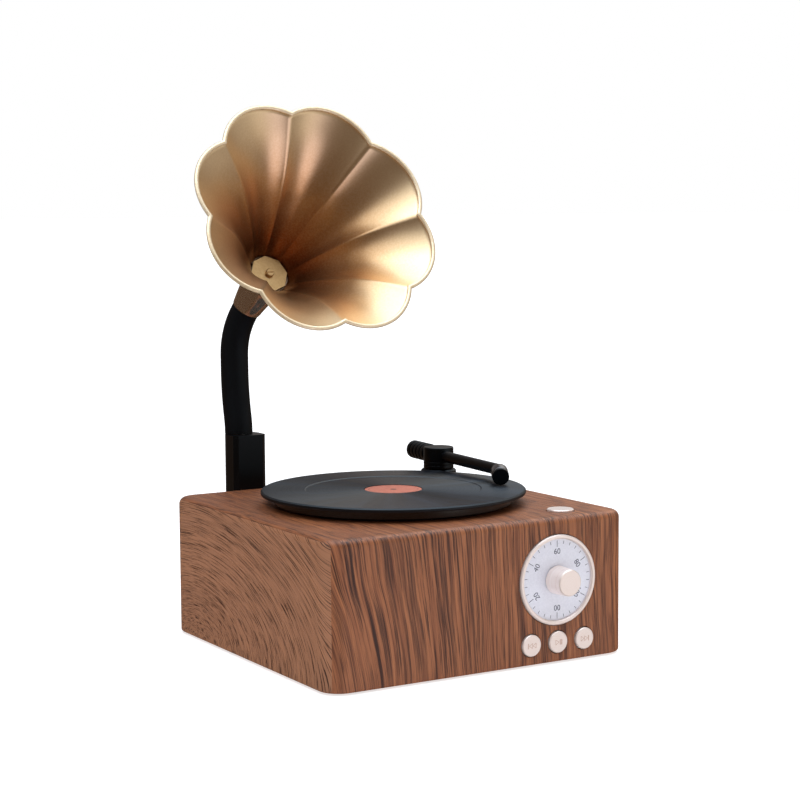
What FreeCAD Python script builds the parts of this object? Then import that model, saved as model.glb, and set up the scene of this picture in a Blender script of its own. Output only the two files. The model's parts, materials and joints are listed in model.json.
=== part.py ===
import FreeCAD, Part
import math
import os
import re
import Sketcher
from FreeCAD import Placement, Rotation, Vector

# Desktop speaker in the shape of a small gramophone. Millimetres, +Z up, +X to the right seen from the front.
# The origin is the middle of the cabinet's underside; the front face is at y = -cabinet_depth / 2.

DIMENSIONS = {
    # wooden cabinet
    "cabinet_width": 160.0, "cabinet_depth": 160.0, "cabinet_height": 67.0, "wall": 5.0,
    "corner_radius": 10.7, "top_edge_radius": 3.5, "bottom_edge_radius": 1.3,
    "panel_thickness": 4.0, "panel_gap": 0.3, "foot_radius": 8.0, "foot_rise": 0.8,
    "foot_depth": 1.2, "foot_place": 58.0, "block_size": 14.0, "block_height": 20.0,
    "block_place": 68.0, "snug_gap": 0.05,
    # wood screws
    "wood_screw_radius": 1.5, "wood_screw_length": 15.6, "screw_head_radius": 2.9,
    "screw_head_height": 1.6, "screw_recess": 0.4, "screw_seat": 2.0, "small_screw_radius": 1.0,
    "small_screw_length": 4.6, "small_screw_head": 1.9, "small_screw_head_height": 0.9,
    # dial and tuning knob on the front
    "dial_x": 39.6, "dial_z": 38.3, "dial_recess_radius": 21.3, "dial_recess_depth": 1.6,
    "bezel_radius": 20.9, "bezel_inner_radius": 18.9, "bezel_height": 2.5,
    "dial_plate_radius": 18.85, "dial_plate_thickness": 1.2,
    "knob_face_radius": 6.15, "knob_base_radius": 6.6, "knob_length": 10.0, "knob_bevel": 0.45,
    "knob_recess_radius": 5.4, "knob_recess_depth": 3.0,
    "pot_radius": 8.5, "pot_depth": 9.0, "pot_bush_radius": 3.9, "pot_bush_rise": 1.7,
    "pot_shaft_radius": 3.0, "pot_shaft_rise": 8.4, "running_gap": 0.06,
    "nut_radius": 4.9, "nut_height": 2.0,
    # push buttons
    "button_radius": 5.05, "button_gap": 0.45, "button_pitch": 14.8, "button_z": 9.4,
    "button_rise": 1.0, "button_bevel": 0.35, "button_travel": 0.8, "flange_step": 1.05,
    "flange_thickness": 1.0, "flange_gap": 0.3, "stem_radius": 2.0, "stem_reach": 8.6,
    "top_button_radius": 6.3, "top_button_x": 52.6, "top_button_y": -63.9,
    "switch_size": 6.0, "switch_height": 4.4, "switch_gap": 0.3, "board_thickness": 1.6,
    "button_board_width": 40.0, "button_board_foot": 4.6, "button_board_height": 17.4,
    "top_board_size": 20.0, "spacer_radius": 2.0, "spacer_height": 19.0, "spacer_reach": 7.4,
    # turntable
    "platter_radius": 57.3, "platter_height": 4.5, "platter_gap": 0.5,
    "record_radius": 63.7, "record_thickness": 2.0, "record_edge": 0.6, "record_zone_radius": 42.5,
    "record_zone_drop": 0.3, "label_radius": 13.7, "label_recess_radius": 14.0,
    "label_recess": 0.7, "label_thickness": 0.5,
    "axle_radius": 2.5, "axle_length": 22.0, "axle_bush_radius": 5.0, "axle_bush_length": 10.5,
    "axle_flange_radius": 8.0, "axle_flange_thickness": 1.5,
    "big_groove_radius": 21.3, "small_groove_radius": 3.7, "pulley_z": 51.0, "pulley_height": 4.2,
    "pulley_lip": 1.5, "groove_width": 1.6, "belt_size": 1.2, "belt_gap": 0.15,
    "motor_x": -42.0, "motor_radius": 12.0, "motor_height": 25.0, "motor_bevel": 1.0,
    "motor_shaft_radius": 1.0, "motor_shaft_depth": 5.0, "bracket_z": 48.6,
    "bracket_thickness": 1.5, "motor_screw_reach": 8.0, "bracket_size": 36.0, "bracket_post_radius": 2.5,
    "bracket_post_x": 12.0, "bracket_post_y": 15.0, "bracket_hole_radius": 3.0,
    # tonearm
    "arm_x": 59.0, "arm_y": 53.0, "arm_z": 80.1, "arm_tube_radius": 2.85,
    "arm_base_radius": 9.1, "arm_base_height": 6.0, "drum_radius": 7.8,
    "drum_top_z": 84.5, "drum_round": 0.8, "arm_spigot_radius": 4.0, "arm_axle_radius": 2.0,
    "arm_axle_low": 58.4, "arm_axle_high": 76.5, "arm_nut_z": 59.2, "arm_nut_height": 2.5,
    "elbow_x": 53.9, "elbow_y": -9.0, "elbow_radius": 6.0,
    "head_back_x": 50.9, "head_back_y": -15.4, "head_tip_x": 46.4, "head_tip_y": -23.5,
    "head_tip_z": 78.5, "head_radius": 4.2, "head_cap_length": 2.2,
    "weight_radius": 4.75, "weight_start": 9.5, "weight_length": 18.5, "weight_groove": 0.7,
    "weight_end": 1.5,
    "arm_tube_bore": 1.9, "arm_drum_foot": 73.3,
    # horn post behind the cabinet
    "post_x": -36.0, "post_radius": 9.0, "post_round_y": 89.3, "post_bevel": 2.1,
    "post_foot_z": 12.0, "post_top_z": 94.0, "post_screw_z": 22.0, "post_screw_pitch": 16.0,
    "neck_x": -37.2, "neck_y": 91.3, "socket_radius": 5.2,
    "socket_wall": 0.8, "socket_depth": 24.0, "plug_foot_z": 74.0,
    "grub_radius": 1.25, "grub_z": 84.0,
    "grub_tip": 4.4, "grub_length": 2.0, "plug_groove_radius": 4.1, "plug_groove_height": 3.1,
    "plug_groove_angle": 131.0,
    # bent neck
    "neck_radius": 7.05, "neck_bore_radius": 4.5, "spigot_radius": 4.15, "spigot_length": 5.5,
    "neck_gap": 0.3,
    "neck_turn": 26.0, "neck_tilt": 7.2, "tilt_length": 8.4, "return_length": 25.2, "upright_length": 6.4,
    "bend_radius": 39.0, "bend_angle": 37.6,
    # horn
    "horn_x": -29.1, "horn_y": 19.6, "horn_z": 204.8, "horn_elevation": 28.6,
    "horn_azimuth": -1.2, "horn_depth": 60.8, "horn_wall": 1.2,
    "rim_thickness": 1.8, "rim_proud": 0.5, "rim_inset": 0.5, "throat_gap": 0.1,
    "throat_plate_thickness": 2.4, "throat_screw_radius": 1.5, "throat_screw_length": 12.0,
    "throat_screw_head": 2.2, "collar_radius": 7.5,
    # loudspeaker driver behind the rear grille
    "driver_x": 34.0, "driver_z": 34.0, "driver_radius": 26.5, "driver_opening": 22.5,
    "grille_radius": 29.0, "grille_recess": 1.5, "grille_thickness": 2.3,
    "grille_hole_radius": 1.25, "grille_ring_pitch": 4.6, "magnet_radius": 16.0,
    "magnet_height": 9.0, "driver_flange": 1.5, "basket_depth": 19.0,
    "driver_cone_radius": 21.0, "cone_seat": 1.2, "coil_radius": 6.0, "driver_screw_circle": 24.4,
    # sockets, circuit board, battery
    "socket_x": -12.0, "socket_z": 17.0, "socket_plate_width": 26.0, "socket_plate_height": 13.0,
    "socket_plate_thickness": 1.8, "socket_spacing": 6.0, "usb_width": 9.0, "usb_height": 3.4,
    "usb_depth": 7.4, "usb_shell": 0.4, "aux_radius": 1.8, "aux_barrel_radius": 3.0,
    "aux_body": 5.4, "amp_board_x": -58.0, "amp_board_y": 38.0, "amp_board_z": 12.7,
    "amp_board_width": 58.0, "amp_board_depth": 34.0, "boss_radius": 3.0, "boss_inset": 5.0,
    "boss_rear_inset": 14.0,
    "battery_x": -56.0, "battery_y": -62.0, "battery_width": 68.0, "battery_depth": 38.0,
    "battery_height": 19.0, "strap_x": -28.0, "strap_width": 12.0,
    "strap_thickness": 1.0, "strap_foot": 6.0,
}

# Inner surface of the horn: (fraction of the depth from the throat, radius at a crease, radius between).
HORN_PROFILE = [
    (0.00, 10.0, 10.2), (0.16, 14.3, 15.1), (0.31, 19.3, 20.9), (0.44, 24.2, 26.6),
    (0.55, 28.5, 31.5), (0.69, 34.9, 38.6), (0.85, 44.4, 48.9), (1.00, 55.0, 61.0),
]
LOBES = 8
GRILLE_RINGS = 4
COLLAR_SECTIONS = 5
SIGNS = (-1, 1)

FACING_FRONT = Rotation(Vector(1, 0, 0), 90)     # local Z points to -Y
FACING_BACK = Rotation(Vector(1, 0, 0), -90)     # local Z points to +Y
TIP_DOWN = Rotation(Vector(1, 0, 0), 180)        # local Z points to -Z

doc = FreeCAD.newDocument("gramophone_speaker")
sheet = doc.addObject("Spreadsheet::Sheet", "dims")
for row, (alias, value) in enumerate(DIMENSIONS.items(), start=1):
    sheet.set("A%d" % row, alias)
    sheet.set("B%d" % row, str(value))
    sheet.setAlias("B%d" % row, alias)
doc.recompute()
kept = []


# ---------------------------------------------------------------- helpers

def dim(text):
    """The present value of a formula of the sheet's aliases."""
    return float(sheet.evalExpression(bound(text)))


def bound(text):
    """The formula with the sheet's name before each alias."""
    return re.sub(r"[A-Za-z_]\w*", lambda word: sheet_name(word.group()), text)


def sheet_name(word):
    return "dims." + word if word in DIMENSIONS else word


def keep(obj, label):
    """Name an object as a finished sub-part."""
    obj.Label = label
    kept.append(obj)
    return obj


def place(obj, at, rotation=None):
    """Turn an object, and bind its position to three formulas."""
    if rotation is not None:
        obj.Placement = Placement(Vector(), rotation)
    for axis, text in zip("xyz", at):
        obj.setExpression("Placement.Base.%s" % axis, bound(text))
    return obj


def bind(obj, **sizes):
    for name, text in sizes.items():
        obj.setExpression(name, bound(text))
    return obj


def cylinder(radius, height, at=("0", "0", "0"), rotation=None):
    obj = doc.addObject("Part::Cylinder", "cylinder")
    return place(bind(obj, Radius=radius, Height=height), at, rotation)


def block(length, width, height, at):
    """A box from its lowest corner."""
    obj = doc.addObject("Part::Box", "block")
    return place(bind(obj, Length=length, Width=width, Height=height), at)


def fused(parts):
    obj = doc.addObject("Part::MultiFuse", "fused")
    obj.Shapes = parts
    return obj


def cut(base, tools):
    """The base less one or more tools."""
    obj = doc.addObject("Part::Cut", "cut")
    obj.Base = base
    obj.Tool = tools[0] if len(tools) == 1 else fused(tools)
    return obj


def group(parts):
    """Identical pieces that stay separate solids of one sub-part."""
    obj = doc.addObject("Part::Compound", "group")
    obj.Links = parts
    return obj


def new_sketch(body, role):
    sketch = body.newObject("Sketcher::SketchObject", "sketch")
    plane = next(item for item in body.Origin.OriginFeatures if item.Role == role)
    sketch.AttachmentSupport = [(plane, "")]
    sketch.MapMode = "FlatFace"
    return sketch


def draw_outline(sketch, points):
    """A closed outline of straight lines with every corner bound to its pair of formulas."""
    corners = [Vector(dim(across), dim(up), 0) for across, up in points]
    first = sketch.GeometryCount
    count = len(corners)
    for i in range(count):
        sketch.addGeometry(Part.LineSegment(corners[i], corners[(i + 1) % count]))
    for i in range(count):
        sketch.addConstraint(Sketcher.Constraint("Coincident", first + i, 2, first + (i + 1) % count, 1))
    for i, (across, up) in enumerate(points):
        for kind, text in (("DistanceX", across), ("DistanceY", up)):
            index = sketch.addConstraint(Sketcher.Constraint(kind, -1, 1, first + i, 1, dim(text)))
            sketch.setExpression("Constraints[%d]" % index, bound(text))


def turned(profile, at=("0", "0", "0"), rotation=None):
    """A turned piece: a profile of (radius, height) corners revolved about local Z."""
    body = doc.addObject("PartDesign::Body", "turned")
    sketch = new_sketch(body, "XZ_Plane")
    draw_outline(sketch, profile)
    revolution = body.newObject("PartDesign::Revolution", "revolution")
    revolution.Profile = sketch
    revolution.ReferenceAxis = (sketch, ["V_Axis"])
    revolution.Angle = 360
    return place(body, at, rotation)


def padded(outline, height, at=("0", "0", "0"), rotation=None):
    """A flat piece: an outline raised along local Z."""
    body = doc.addObject("PartDesign::Body", "padded")
    sketch = new_sketch(body, "XY_Plane")
    draw_outline(sketch, outline)
    pad = body.newObject("PartDesign::Pad", "pad")
    pad.Profile = sketch
    bind(pad, Length=height)
    return place(body, at, rotation)


def hexagon(radius):
    """Outline of a hexagon with a corner on the X axis."""
    return [("%s * cos(%d)" % (radius, 60 * i), "%s * sin(%d)" % (radius, 60 * i)) for i in range(6)]


def rectangle(width, depth):
    """Outline of a rectangle about the origin."""
    return [("%d * %s / 2" % (i, width), "%d * %s / 2" % (j, depth))
            for i, j in ((-1, -1), (1, -1), (1, 1), (-1, 1))]


def coded(shape):
    """A sub-part whose shape is worked out in code from the sheet's values."""
    obj = doc.addObject("Part::Feature", "coded")
    obj.Shape = shape
    return obj


def pan_screw(radius, length, head_radius, head_height, at, rotation=None):
    """A screw whose head rests at local z = 0, shank along local +Z, with a driver slot."""
    screw = turned([("0", "0 - " + head_height), ("%s - 0.4" % head_radius, "0 - " + head_height),
                    (head_radius, "0.4 - " + head_height), (head_radius, "0"), (radius, "0"),
                    (radius, "%s - %s" % (length, radius)), ("0", length)])
    slot = block("2 * " + head_radius, "0.6", "0.6", ("0 - " + head_radius, "-0.3", "0 - " + head_height))
    return place(cut(screw, [slot]), at, rotation)


FRONT = "(0 - cabinet_depth / 2)"
INNER_FRONT = "(wall - cabinet_depth / 2)"
BACK = "cabinet_depth / 2"
INNER_BACK = "(cabinet_depth / 2 - wall)"
CEILING = "(cabinet_height - wall)"


# ---------------------------------------------------------------- cabinet

def along_front(radius, height, x, y, z):
    """A round tool or piece whose axis runs along -Y from its back end."""
    return cylinder(radius, height, (x, y, z), FACING_FRONT)


def edges_where(shape, test):
    return ["Edge%d" % (i + 1) for i, edge in enumerate(shape.Edges) if test(edge.BoundBox)]


def rounded(body, base, radius, test):
    """A fillet on the edges of the last feature that pass the test."""
    doc.recompute()
    fillet = body.newObject("PartDesign::Fillet", "fillet")
    fillet.Base = (base, edges_where(base.Shape, test))
    return bind(fillet, Radius=radius)


def button_places():
    """X of the three front buttons."""
    return ["dial_x + %d * button_pitch" % i for i in (-1, 0, 1)]


def corner_places(reach):
    return [("%d * %s" % (i, reach), "%d * %s" % (j, reach)) for i in SIGNS for j in SIGNS]


def battery_ends():
    """Y of the two strap feet's screws."""
    return ["battery_y - strap_foot / 2", "battery_y + battery_depth + strap_foot / 2"]


def boss_places():
    """X and Y of the four bosses under the circuit board."""
    xs = ["amp_board_x + boss_inset", "amp_board_x + amp_board_width - boss_inset"]
    ys = ["amp_board_y + boss_inset", "amp_board_y + amp_board_depth - boss_rear_inset"]
    return [(x, y) for x in xs for y in ys]


def driver_screw_places():
    """X and Z of the four screws round the loudspeaker."""
    spots = []
    for turn in (45, 135, 225, 315):
        spots.append(("driver_x + driver_screw_circle * cos(%d)" % turn,
                      "driver_z + driver_screw_circle * sin(%d)" % turn))
    return spots


def post_screw_heights():
    return ["post_screw_z + %d * post_screw_pitch" % i for i in range(3)]


def wooden_box():
    """The outside of the cabinet with its rounded edges."""
    body = doc.addObject("PartDesign::Body", "wooden_box")
    sketch = new_sketch(body, "XY_Plane")
    draw_outline(sketch, rectangle("cabinet_width", "cabinet_depth"))
    pad = body.newObject("PartDesign::Pad", "pad")
    pad.Profile = sketch
    bind(pad, Length="cabinet_height")
    height = dim("cabinet_height")
    sides = rounded(body, pad, "corner_radius", lambda box: box.ZLength > height / 2)
    top = rounded(body, sides, "top_edge_radius", lambda box: box.ZMin > height - 0.01)
    rounded(body, top, "bottom_edge_radius", lambda box: box.ZMax < 0.01)
    return body


def build_cabinet_shell():
    inside = block("cabinet_width - 2 * wall", "cabinet_depth - 2 * wall", CEILING,
                   ("wall - cabinet_width / 2", "wall - cabinet_depth / 2", "0"))
    tools = [inside]
    tools.append(along_front("dial_recess_radius", "dial_recess_depth + 1", "dial_x",
                             "dial_recess_depth - cabinet_depth / 2", "dial_z"))
    tools.append(along_front("pot_bush_radius + snug_gap", "2 * wall", "dial_x",
                             "1.5 * wall - cabinet_depth / 2", "dial_z"))
    for x in button_places():
        tools.append(along_front("button_radius + button_gap", "2 * wall", x,
                                 "1.5 * wall - cabinet_depth / 2", "button_z"))
    upright = (("top_button_radius + button_gap", "top_button_x", "top_button_y"),
               ("axle_bush_radius + snug_gap", "0", "0"),
               ("arm_spigot_radius + snug_gap", "arm_x", "arm_y"))
    for radius, x, y in upright:
        tools.append(cylinder(radius, "2 * wall", (x, y, "cabinet_height - 1.5 * wall")))
    tools.append(along_front("driver_opening", "2 * wall", "driver_x", "cabinet_depth / 2 + wall / 2",
                             "driver_z"))
    tools.append(along_front("grille_radius + snug_gap", "grille_recess + 1", "driver_x",
                             "cabinet_depth / 2 + 1", "driver_z"))
    for x, z in driver_screw_places():
        tools.append(along_front("small_screw_radius + snug_gap", "small_screw_length", x,
                                 INNER_BACK + " + small_screw_length - driver_flange", z))
    for z in post_screw_heights():
        tools.append(along_front("wood_screw_radius + snug_gap", "2 * wall", "post_x",
                                 "cabinet_depth / 2 + wall / 2", z))
    tools.append(block("socket_plate_width + 2 * snug_gap", "socket_plate_thickness + 1",
                       "socket_plate_height + 2 * snug_gap",
                       ("socket_x - socket_plate_width / 2 - snug_gap", BACK + " - socket_plate_thickness",
                        "socket_z - socket_plate_height / 2 - snug_gap")))
    tools.append(block("socket_plate_width - 4", "2 * wall", "socket_plate_height - 4",
                       ("socket_x - socket_plate_width / 2 + 2", BACK + " - 1.5 * wall",
                        "socket_z - socket_plate_height / 2 + 2")))
    keep(cut(wooden_box(), tools), "cabinet_shell")


def build_base_panel():
    side = "(cabinet_width - 2 * wall - 2 * panel_gap)"
    solids = [block(side, side, "panel_thickness", ("0 - %s / 2" % side, "0 - %s / 2" % side, "0"))]
    tools = []
    for x, y in boss_places():
        solids.append(cylinder("boss_radius", "amp_board_z", (x, y, "0")))
        tools.append(cylinder("small_screw_radius + snug_gap", "amp_board_z", (x, y, "panel_thickness / 2")))
    for y in battery_ends():
        tools.append(cylinder("small_screw_radius + snug_gap", "panel_thickness", ("strap_x", y, "0.5")))
    for x, y in corner_places("foot_place"):
        tools.append(cylinder("foot_radius + snug_gap", "foot_depth + 1", (x, y, "-1")))
    for x, y in corner_places("block_place"):
        tools.append(cylinder("wood_screw_radius + snug_gap", "2 * panel_thickness", (x, y, "-1")))
        tools.append(cylinder("screw_head_radius + snug_gap", "screw_recess + screw_head_height + 1",
                              (x, y, "-1")))
    tools.append(block("2 * button_pitch + 2 * (button_radius + flange_step + 1)", "8", "panel_thickness",
                       ("dial_x - button_pitch - button_radius - flange_step - 1",
                        "wall - cabinet_depth / 2", "panel_thickness - 1.3")))
    keep(cut(fused(solids), tools), "base_panel")


def build_corner_blocks():
    blocks = []
    for x, y in corner_places("block_place"):
        corner = block("block_size", "block_size", "block_height",
                       (x + " - block_size / 2", y + " - block_size / 2", "panel_thickness"))
        hole = cylinder("wood_screw_radius + snug_gap", "wood_screw_length", (x, y, "screw_seat"))
        blocks.append(cut(corner, [hole]))
    keep(group(blocks), "corner_blocks")


def build_feet():
    feet = []
    for x, y in corner_places("foot_place"):
        feet.append(turned([("0", "0"), ("foot_radius - 0.4", "0"), ("foot_radius", "0.4"),
                            ("foot_radius", "foot_rise + foot_depth"), ("0", "foot_rise + foot_depth")],
                           (x, y, "0 - foot_rise")))
    keep(group(feet), "feet")


def wood_screw(at, rotation=None):
    return pan_screw("wood_screw_radius", "wood_screw_length", "screw_head_radius", "screw_head_height",
                     at, rotation)


def small_screw(at, rotation=None):
    return pan_screw("small_screw_radius", "small_screw_length", "small_screw_head",
                     "small_screw_head_height", at, rotation)


def build_wood_screws():
    """Four screws up through the base panel and three from inside into the horn's post."""
    screws = [wood_screw((x, y, "screw_seat")) for x, y in corner_places("block_place")]
    screws += [wood_screw(("post_x", INNER_BACK, z), FACING_BACK) for z in post_screw_heights()]
    keep(group(screws), "wood_screws")


def build_small_screws():
    """Screws of the loudspeaker, circuit board, battery strap and motor."""
    screws = [small_screw((x, INNER_BACK + " - driver_flange", z), FACING_BACK)
              for x, z in driver_screw_places()]
    screws += [small_screw((x, y, "amp_board_z + board_thickness"), TIP_DOWN) for x, y in boss_places()]
    screws += [small_screw(("strap_x", y, "panel_thickness + strap_thickness"), TIP_DOWN)
               for y in battery_ends()]
    top = "bracket_z + bracket_thickness"
    screws += [small_screw(("motor_x", "%d * motor_screw_reach" % i, top), TIP_DOWN) for i in SIGNS]
    keep(group(screws), "small_screws")


# ---------------------------------------------------------------- loudspeaker

def build_grille():
    """A round plate with rings of holes."""
    body = doc.addObject("PartDesign::Body", "perforated")
    sketch = new_sketch(body, "XZ_Plane")
    draw_outline(sketch, [("0", "0"), ("grille_radius", "0"), ("grille_radius", "grille_thickness - 0.6"),
                          ("grille_radius - 0.8", "grille_thickness"), ("0", "grille_thickness")])
    plate = body.newObject("PartDesign::Revolution", "plate")
    plate.Profile = sketch
    plate.ReferenceAxis = (sketch, ["V_Axis"])
    plate.Angle = 360
    doc.recompute()
    for ring in range(GRILLE_RINGS + 1):
        drill_ring(body, ring)
    place(body, ("driver_x", BACK + " - grille_recess", "driver_z"), FACING_BACK)
    keep(body, "speaker_grille")


def drill_ring(body, ring):
    """One hole through the plate, repeated round its ring."""
    sketch = new_sketch(body, "XY_Plane")
    reach = "%d * grille_ring_pitch" % ring
    sketch.addGeometry(Part.Circle(Vector(dim(reach), 0, 0), Vector(0, 0, 1), dim("grille_hole_radius")))
    for kind, text in (("DistanceX", reach), ("DistanceY", "0")):
        index = sketch.addConstraint(Sketcher.Constraint(kind, -1, 1, 0, 3, dim(text)))
        sketch.setExpression("Constraints[%d]" % index, bound(text))
    index = sketch.addConstraint(Sketcher.Constraint("Radius", 0, dim("grille_hole_radius")))
    sketch.setExpression("Constraints[%d]" % index, bound("grille_hole_radius"))
    hole = body.newObject("PartDesign::Pocket", "hole")
    hole.Profile = sketch
    hole.Type = "ThroughAll"
    hole.Midplane = True
    doc.recompute()
    if ring == 0:
        return
    pattern = body.newObject("PartDesign::PolarPattern", "pattern")
    pattern.Originals = [hole]
    pattern.Axis = (sketch, ["N_Axis"])
    pattern.Angle = 360
    pattern.Occurrences = 6 * ring
    body.Tip = pattern
    doc.recompute()


def build_driver():
    """Basket, magnet and cone, measured forward from the inside of the rear wall."""
    at = ("driver_x", INNER_BACK, "driver_z")
    basket = turned([("driver_cone_radius", "0"), ("driver_radius", "0"), ("driver_radius", "driver_flange"),
                     ("driver_cone_radius + 1.2", "driver_flange"), ("magnet_radius - 1", "basket_depth - 2"),
                     ("magnet_radius - 1", "basket_depth"), ("coil_radius", "basket_depth"),
                     ("coil_radius", "basket_depth - 2"), ("magnet_radius - 2.2", "basket_depth - 2"),
                     ("driver_cone_radius", "cone_seat")], at, FACING_FRONT)
    front = INNER_BACK + " - 2 * driver_flange"
    holes = [cylinder("small_screw_radius + snug_gap", "3 * driver_flange", (x, front, z), FACING_BACK)
             for x, z in driver_screw_places()]
    keep(cut(basket, holes), "speaker_basket")
    rear = "basket_depth + magnet_height"
    magnet = turned([("0", "basket_depth"), ("magnet_radius", "basket_depth"), ("magnet_radius", rear),
                     ("0", rear)], at, FACING_FRONT)
    keep(magnet, "speaker_magnet")
    cone = turned([("0", "6"), ("coil_radius", "8"), ("driver_cone_radius - 4", "1.6"),
                   ("driver_cone_radius - 2", "0.4"), ("driver_cone_radius - snug_gap", "0.4"),
                   ("driver_cone_radius - snug_gap", "cone_seat"), ("driver_cone_radius - 1.8", "cone_seat"),
                   ("driver_cone_radius - 3.8", "2.6"), ("coil_radius", "9"), ("0", "7")], at, FACING_FRONT)
    keep(cone, "speaker_cone")


# ---------------------------------------------------------------- circuit board, sockets, battery

def flat_tube(width, height, length, at):
    """A slot-shaped bar along +Y, at the middle of its front end."""
    x, y, z = at
    ends = [cylinder("%s / 2" % height, length, ("%s + %d * (%s - %s) / 2" % (x, i, width, height), y, z),
                     FACING_BACK) for i in SIGNS]
    middle = block("%s - %s" % (width, height), length, height,
                   ("%s - (%s - %s) / 2" % (x, width, height), y, "%s - %s / 2" % (z, height)))
    return fused(ends + [middle])


def build_amplifier():
    """The circuit board with its larger parts."""
    board = block("amp_board_width", "amp_board_depth", "board_thickness",
                  ("amp_board_x", "amp_board_y", "amp_board_z"))
    top = "amp_board_z + board_thickness"
    chip = block("9", "9", "1.4", ("amp_board_x + 24", "amp_board_y + 9", top))
    coil = block("6", "6", "3.2", ("amp_board_x + 38", "amp_board_y + 8", top))
    sink = block("12", "6", "9", ("amp_board_x + 10", "amp_board_y + 14", top))
    cans = [cylinder("3.1", "8", ("amp_board_x + %d" % x, "amp_board_y + 26", top)) for x in (16, 25)]
    solid = fused([board, chip, coil, sink] + cans)
    holes = [cylinder("small_screw_radius + snug_gap", "2 * board_thickness", (x, y, "amp_board_z - 0.5"))
             for x, y in boss_places()]
    keep(cut(solid, holes), "amplifier_board")


def build_sockets():
    """Charging and audio sockets behind one cover plate, standing on the circuit board."""
    usb_x, aux_x = "socket_x - socket_spacing", "socket_x + socket_spacing"
    top = "amp_board_z + board_thickness"
    usb_z = top + " + usb_height / 2"
    usb_y = BACK + " - 1 - usb_depth"
    shell = flat_tube("usb_width", "usb_height", "usb_depth", (usb_x, usb_y, usb_z))
    inside = flat_tube("(usb_width - 2 * usb_shell)", "(usb_height - 2 * usb_shell)", "usb_depth",
                       (usb_x, usb_y + " + 1", usb_z))
    tongue = block("usb_width - 2.4", "usb_depth - 1", "0.7",
                   ("%s - usb_width / 2 + 1.2" % usb_x, usb_y + " + 0.5", usb_z + " - 0.35"))
    keep(fused([cut(shell, [inside]), tongue]), "charging_socket")
    aux_z = top + " + aux_body / 2"
    case = block("aux_body + 1", "9", "aux_body",
                 ("%s - aux_body / 2 - 0.5" % aux_x, INNER_BACK + " - 9", top))
    barrel = cylinder("aux_barrel_radius", "wall - 0.2", (aux_x, INNER_BACK, aux_z), FACING_BACK)
    bore = cylinder("aux_radius", "14", (aux_x, INNER_BACK + " - 7", aux_z), FACING_BACK)
    keep(cut(fused([case, barrel]), [bore]), "aux_socket")
    plate = block("socket_plate_width", "socket_plate_thickness", "socket_plate_height",
                  ("socket_x - socket_plate_width / 2", BACK + " - socket_plate_thickness",
                   "socket_z - socket_plate_height / 2"))
    window = flat_tube("(usb_width + 2 * snug_gap)", "(usb_height + 2 * snug_gap)", "2 * wall",
                       (usb_x, BACK + " - wall", usb_z))
    eye = cylinder("aux_barrel_radius + snug_gap", "2 * wall", (aux_x, BACK + " - wall", aux_z), FACING_BACK)
    keep(cut(plate, [window, eye]), "socket_plate")


def build_battery():
    """Two wrapped cells held to the base panel by a strap."""
    radius = "battery_height / 2"
    lie = Rotation(Vector(0, 1, 0), 90)
    cells = [cylinder(radius, "battery_width", ("battery_x", y, "panel_thickness + battery_height / 2"), lie)
             for y in ("battery_y + battery_height / 2", "battery_y + battery_depth - battery_height / 2")]
    middle = block("battery_width", "battery_depth - battery_height", "battery_height",
                   ("battery_x", "battery_y + battery_height / 2", "panel_thickness"))
    keep(fused(cells + [middle]), "battery_pack")
    left = "strap_x - strap_width / 2"
    hoop = block("strap_width", "battery_depth + 2 * strap_thickness", "battery_height + strap_thickness",
                 (left, "battery_y - strap_thickness", "panel_thickness"))
    hollow = block("2 * strap_width", "battery_depth", "battery_height + 1",
                   ("strap_x - strap_width", "battery_y", "panel_thickness - 1"))
    feet = [block("strap_width", "strap_foot", "strap_thickness", (left, y, "panel_thickness"))
            for y in ("battery_y - strap_foot", "battery_y + battery_depth")]
    solid = fused([cut(hoop, [hollow])] + feet)
    holes = [cylinder("small_screw_radius + snug_gap", "4", ("strap_x", y, "panel_thickness - 1"))
             for y in battery_ends()]
    keep(cut(solid, holes), "battery_strap")


# ---------------------------------------------------------------- buttons, dial and knob

def button(radius, at, rotation):
    """A push button seen from its outer wall: cap above local z = 0, flange and stem below it."""
    flange_top = "0 - wall - flange_gap"
    return turned([("0", "button_rise"), ("%s - button_bevel" % radius, "button_rise"),
                   (radius, "button_rise - button_bevel"), (radius, flange_top),
                   ("%s + flange_step" % radius, flange_top),
                   ("%s + flange_step" % radius, flange_top + " - flange_thickness"),
                   ("stem_radius", flange_top + " - flange_thickness"), ("stem_radius", "0 - stem_reach"),
                   ("0", "0 - stem_reach")], at, rotation)


def build_buttons():
    names = ("skip_back_button", "play_button", "skip_forward_button")
    for name, x in zip(names, button_places()):
        keep(button("button_radius", (x, FRONT, "button_z"), FACING_FRONT), name)
    place_on_top = ("top_button_x", "top_button_y", "cabinet_height")
    keep(button("top_button_radius", place_on_top, None), "power_button")


def push_switch(at, rotation):
    """A square switch with its plunger's tip at local z = 0."""
    plunger = cylinder("1.75", "1.2", ("0", "0", "-1.2"))
    case = block("switch_size", "switch_size", "switch_height - 1",
                 ("0 - switch_size / 2", "0 - switch_size / 2", "0 - switch_height"))
    return place(fused([plunger, case]), at, rotation)


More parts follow.
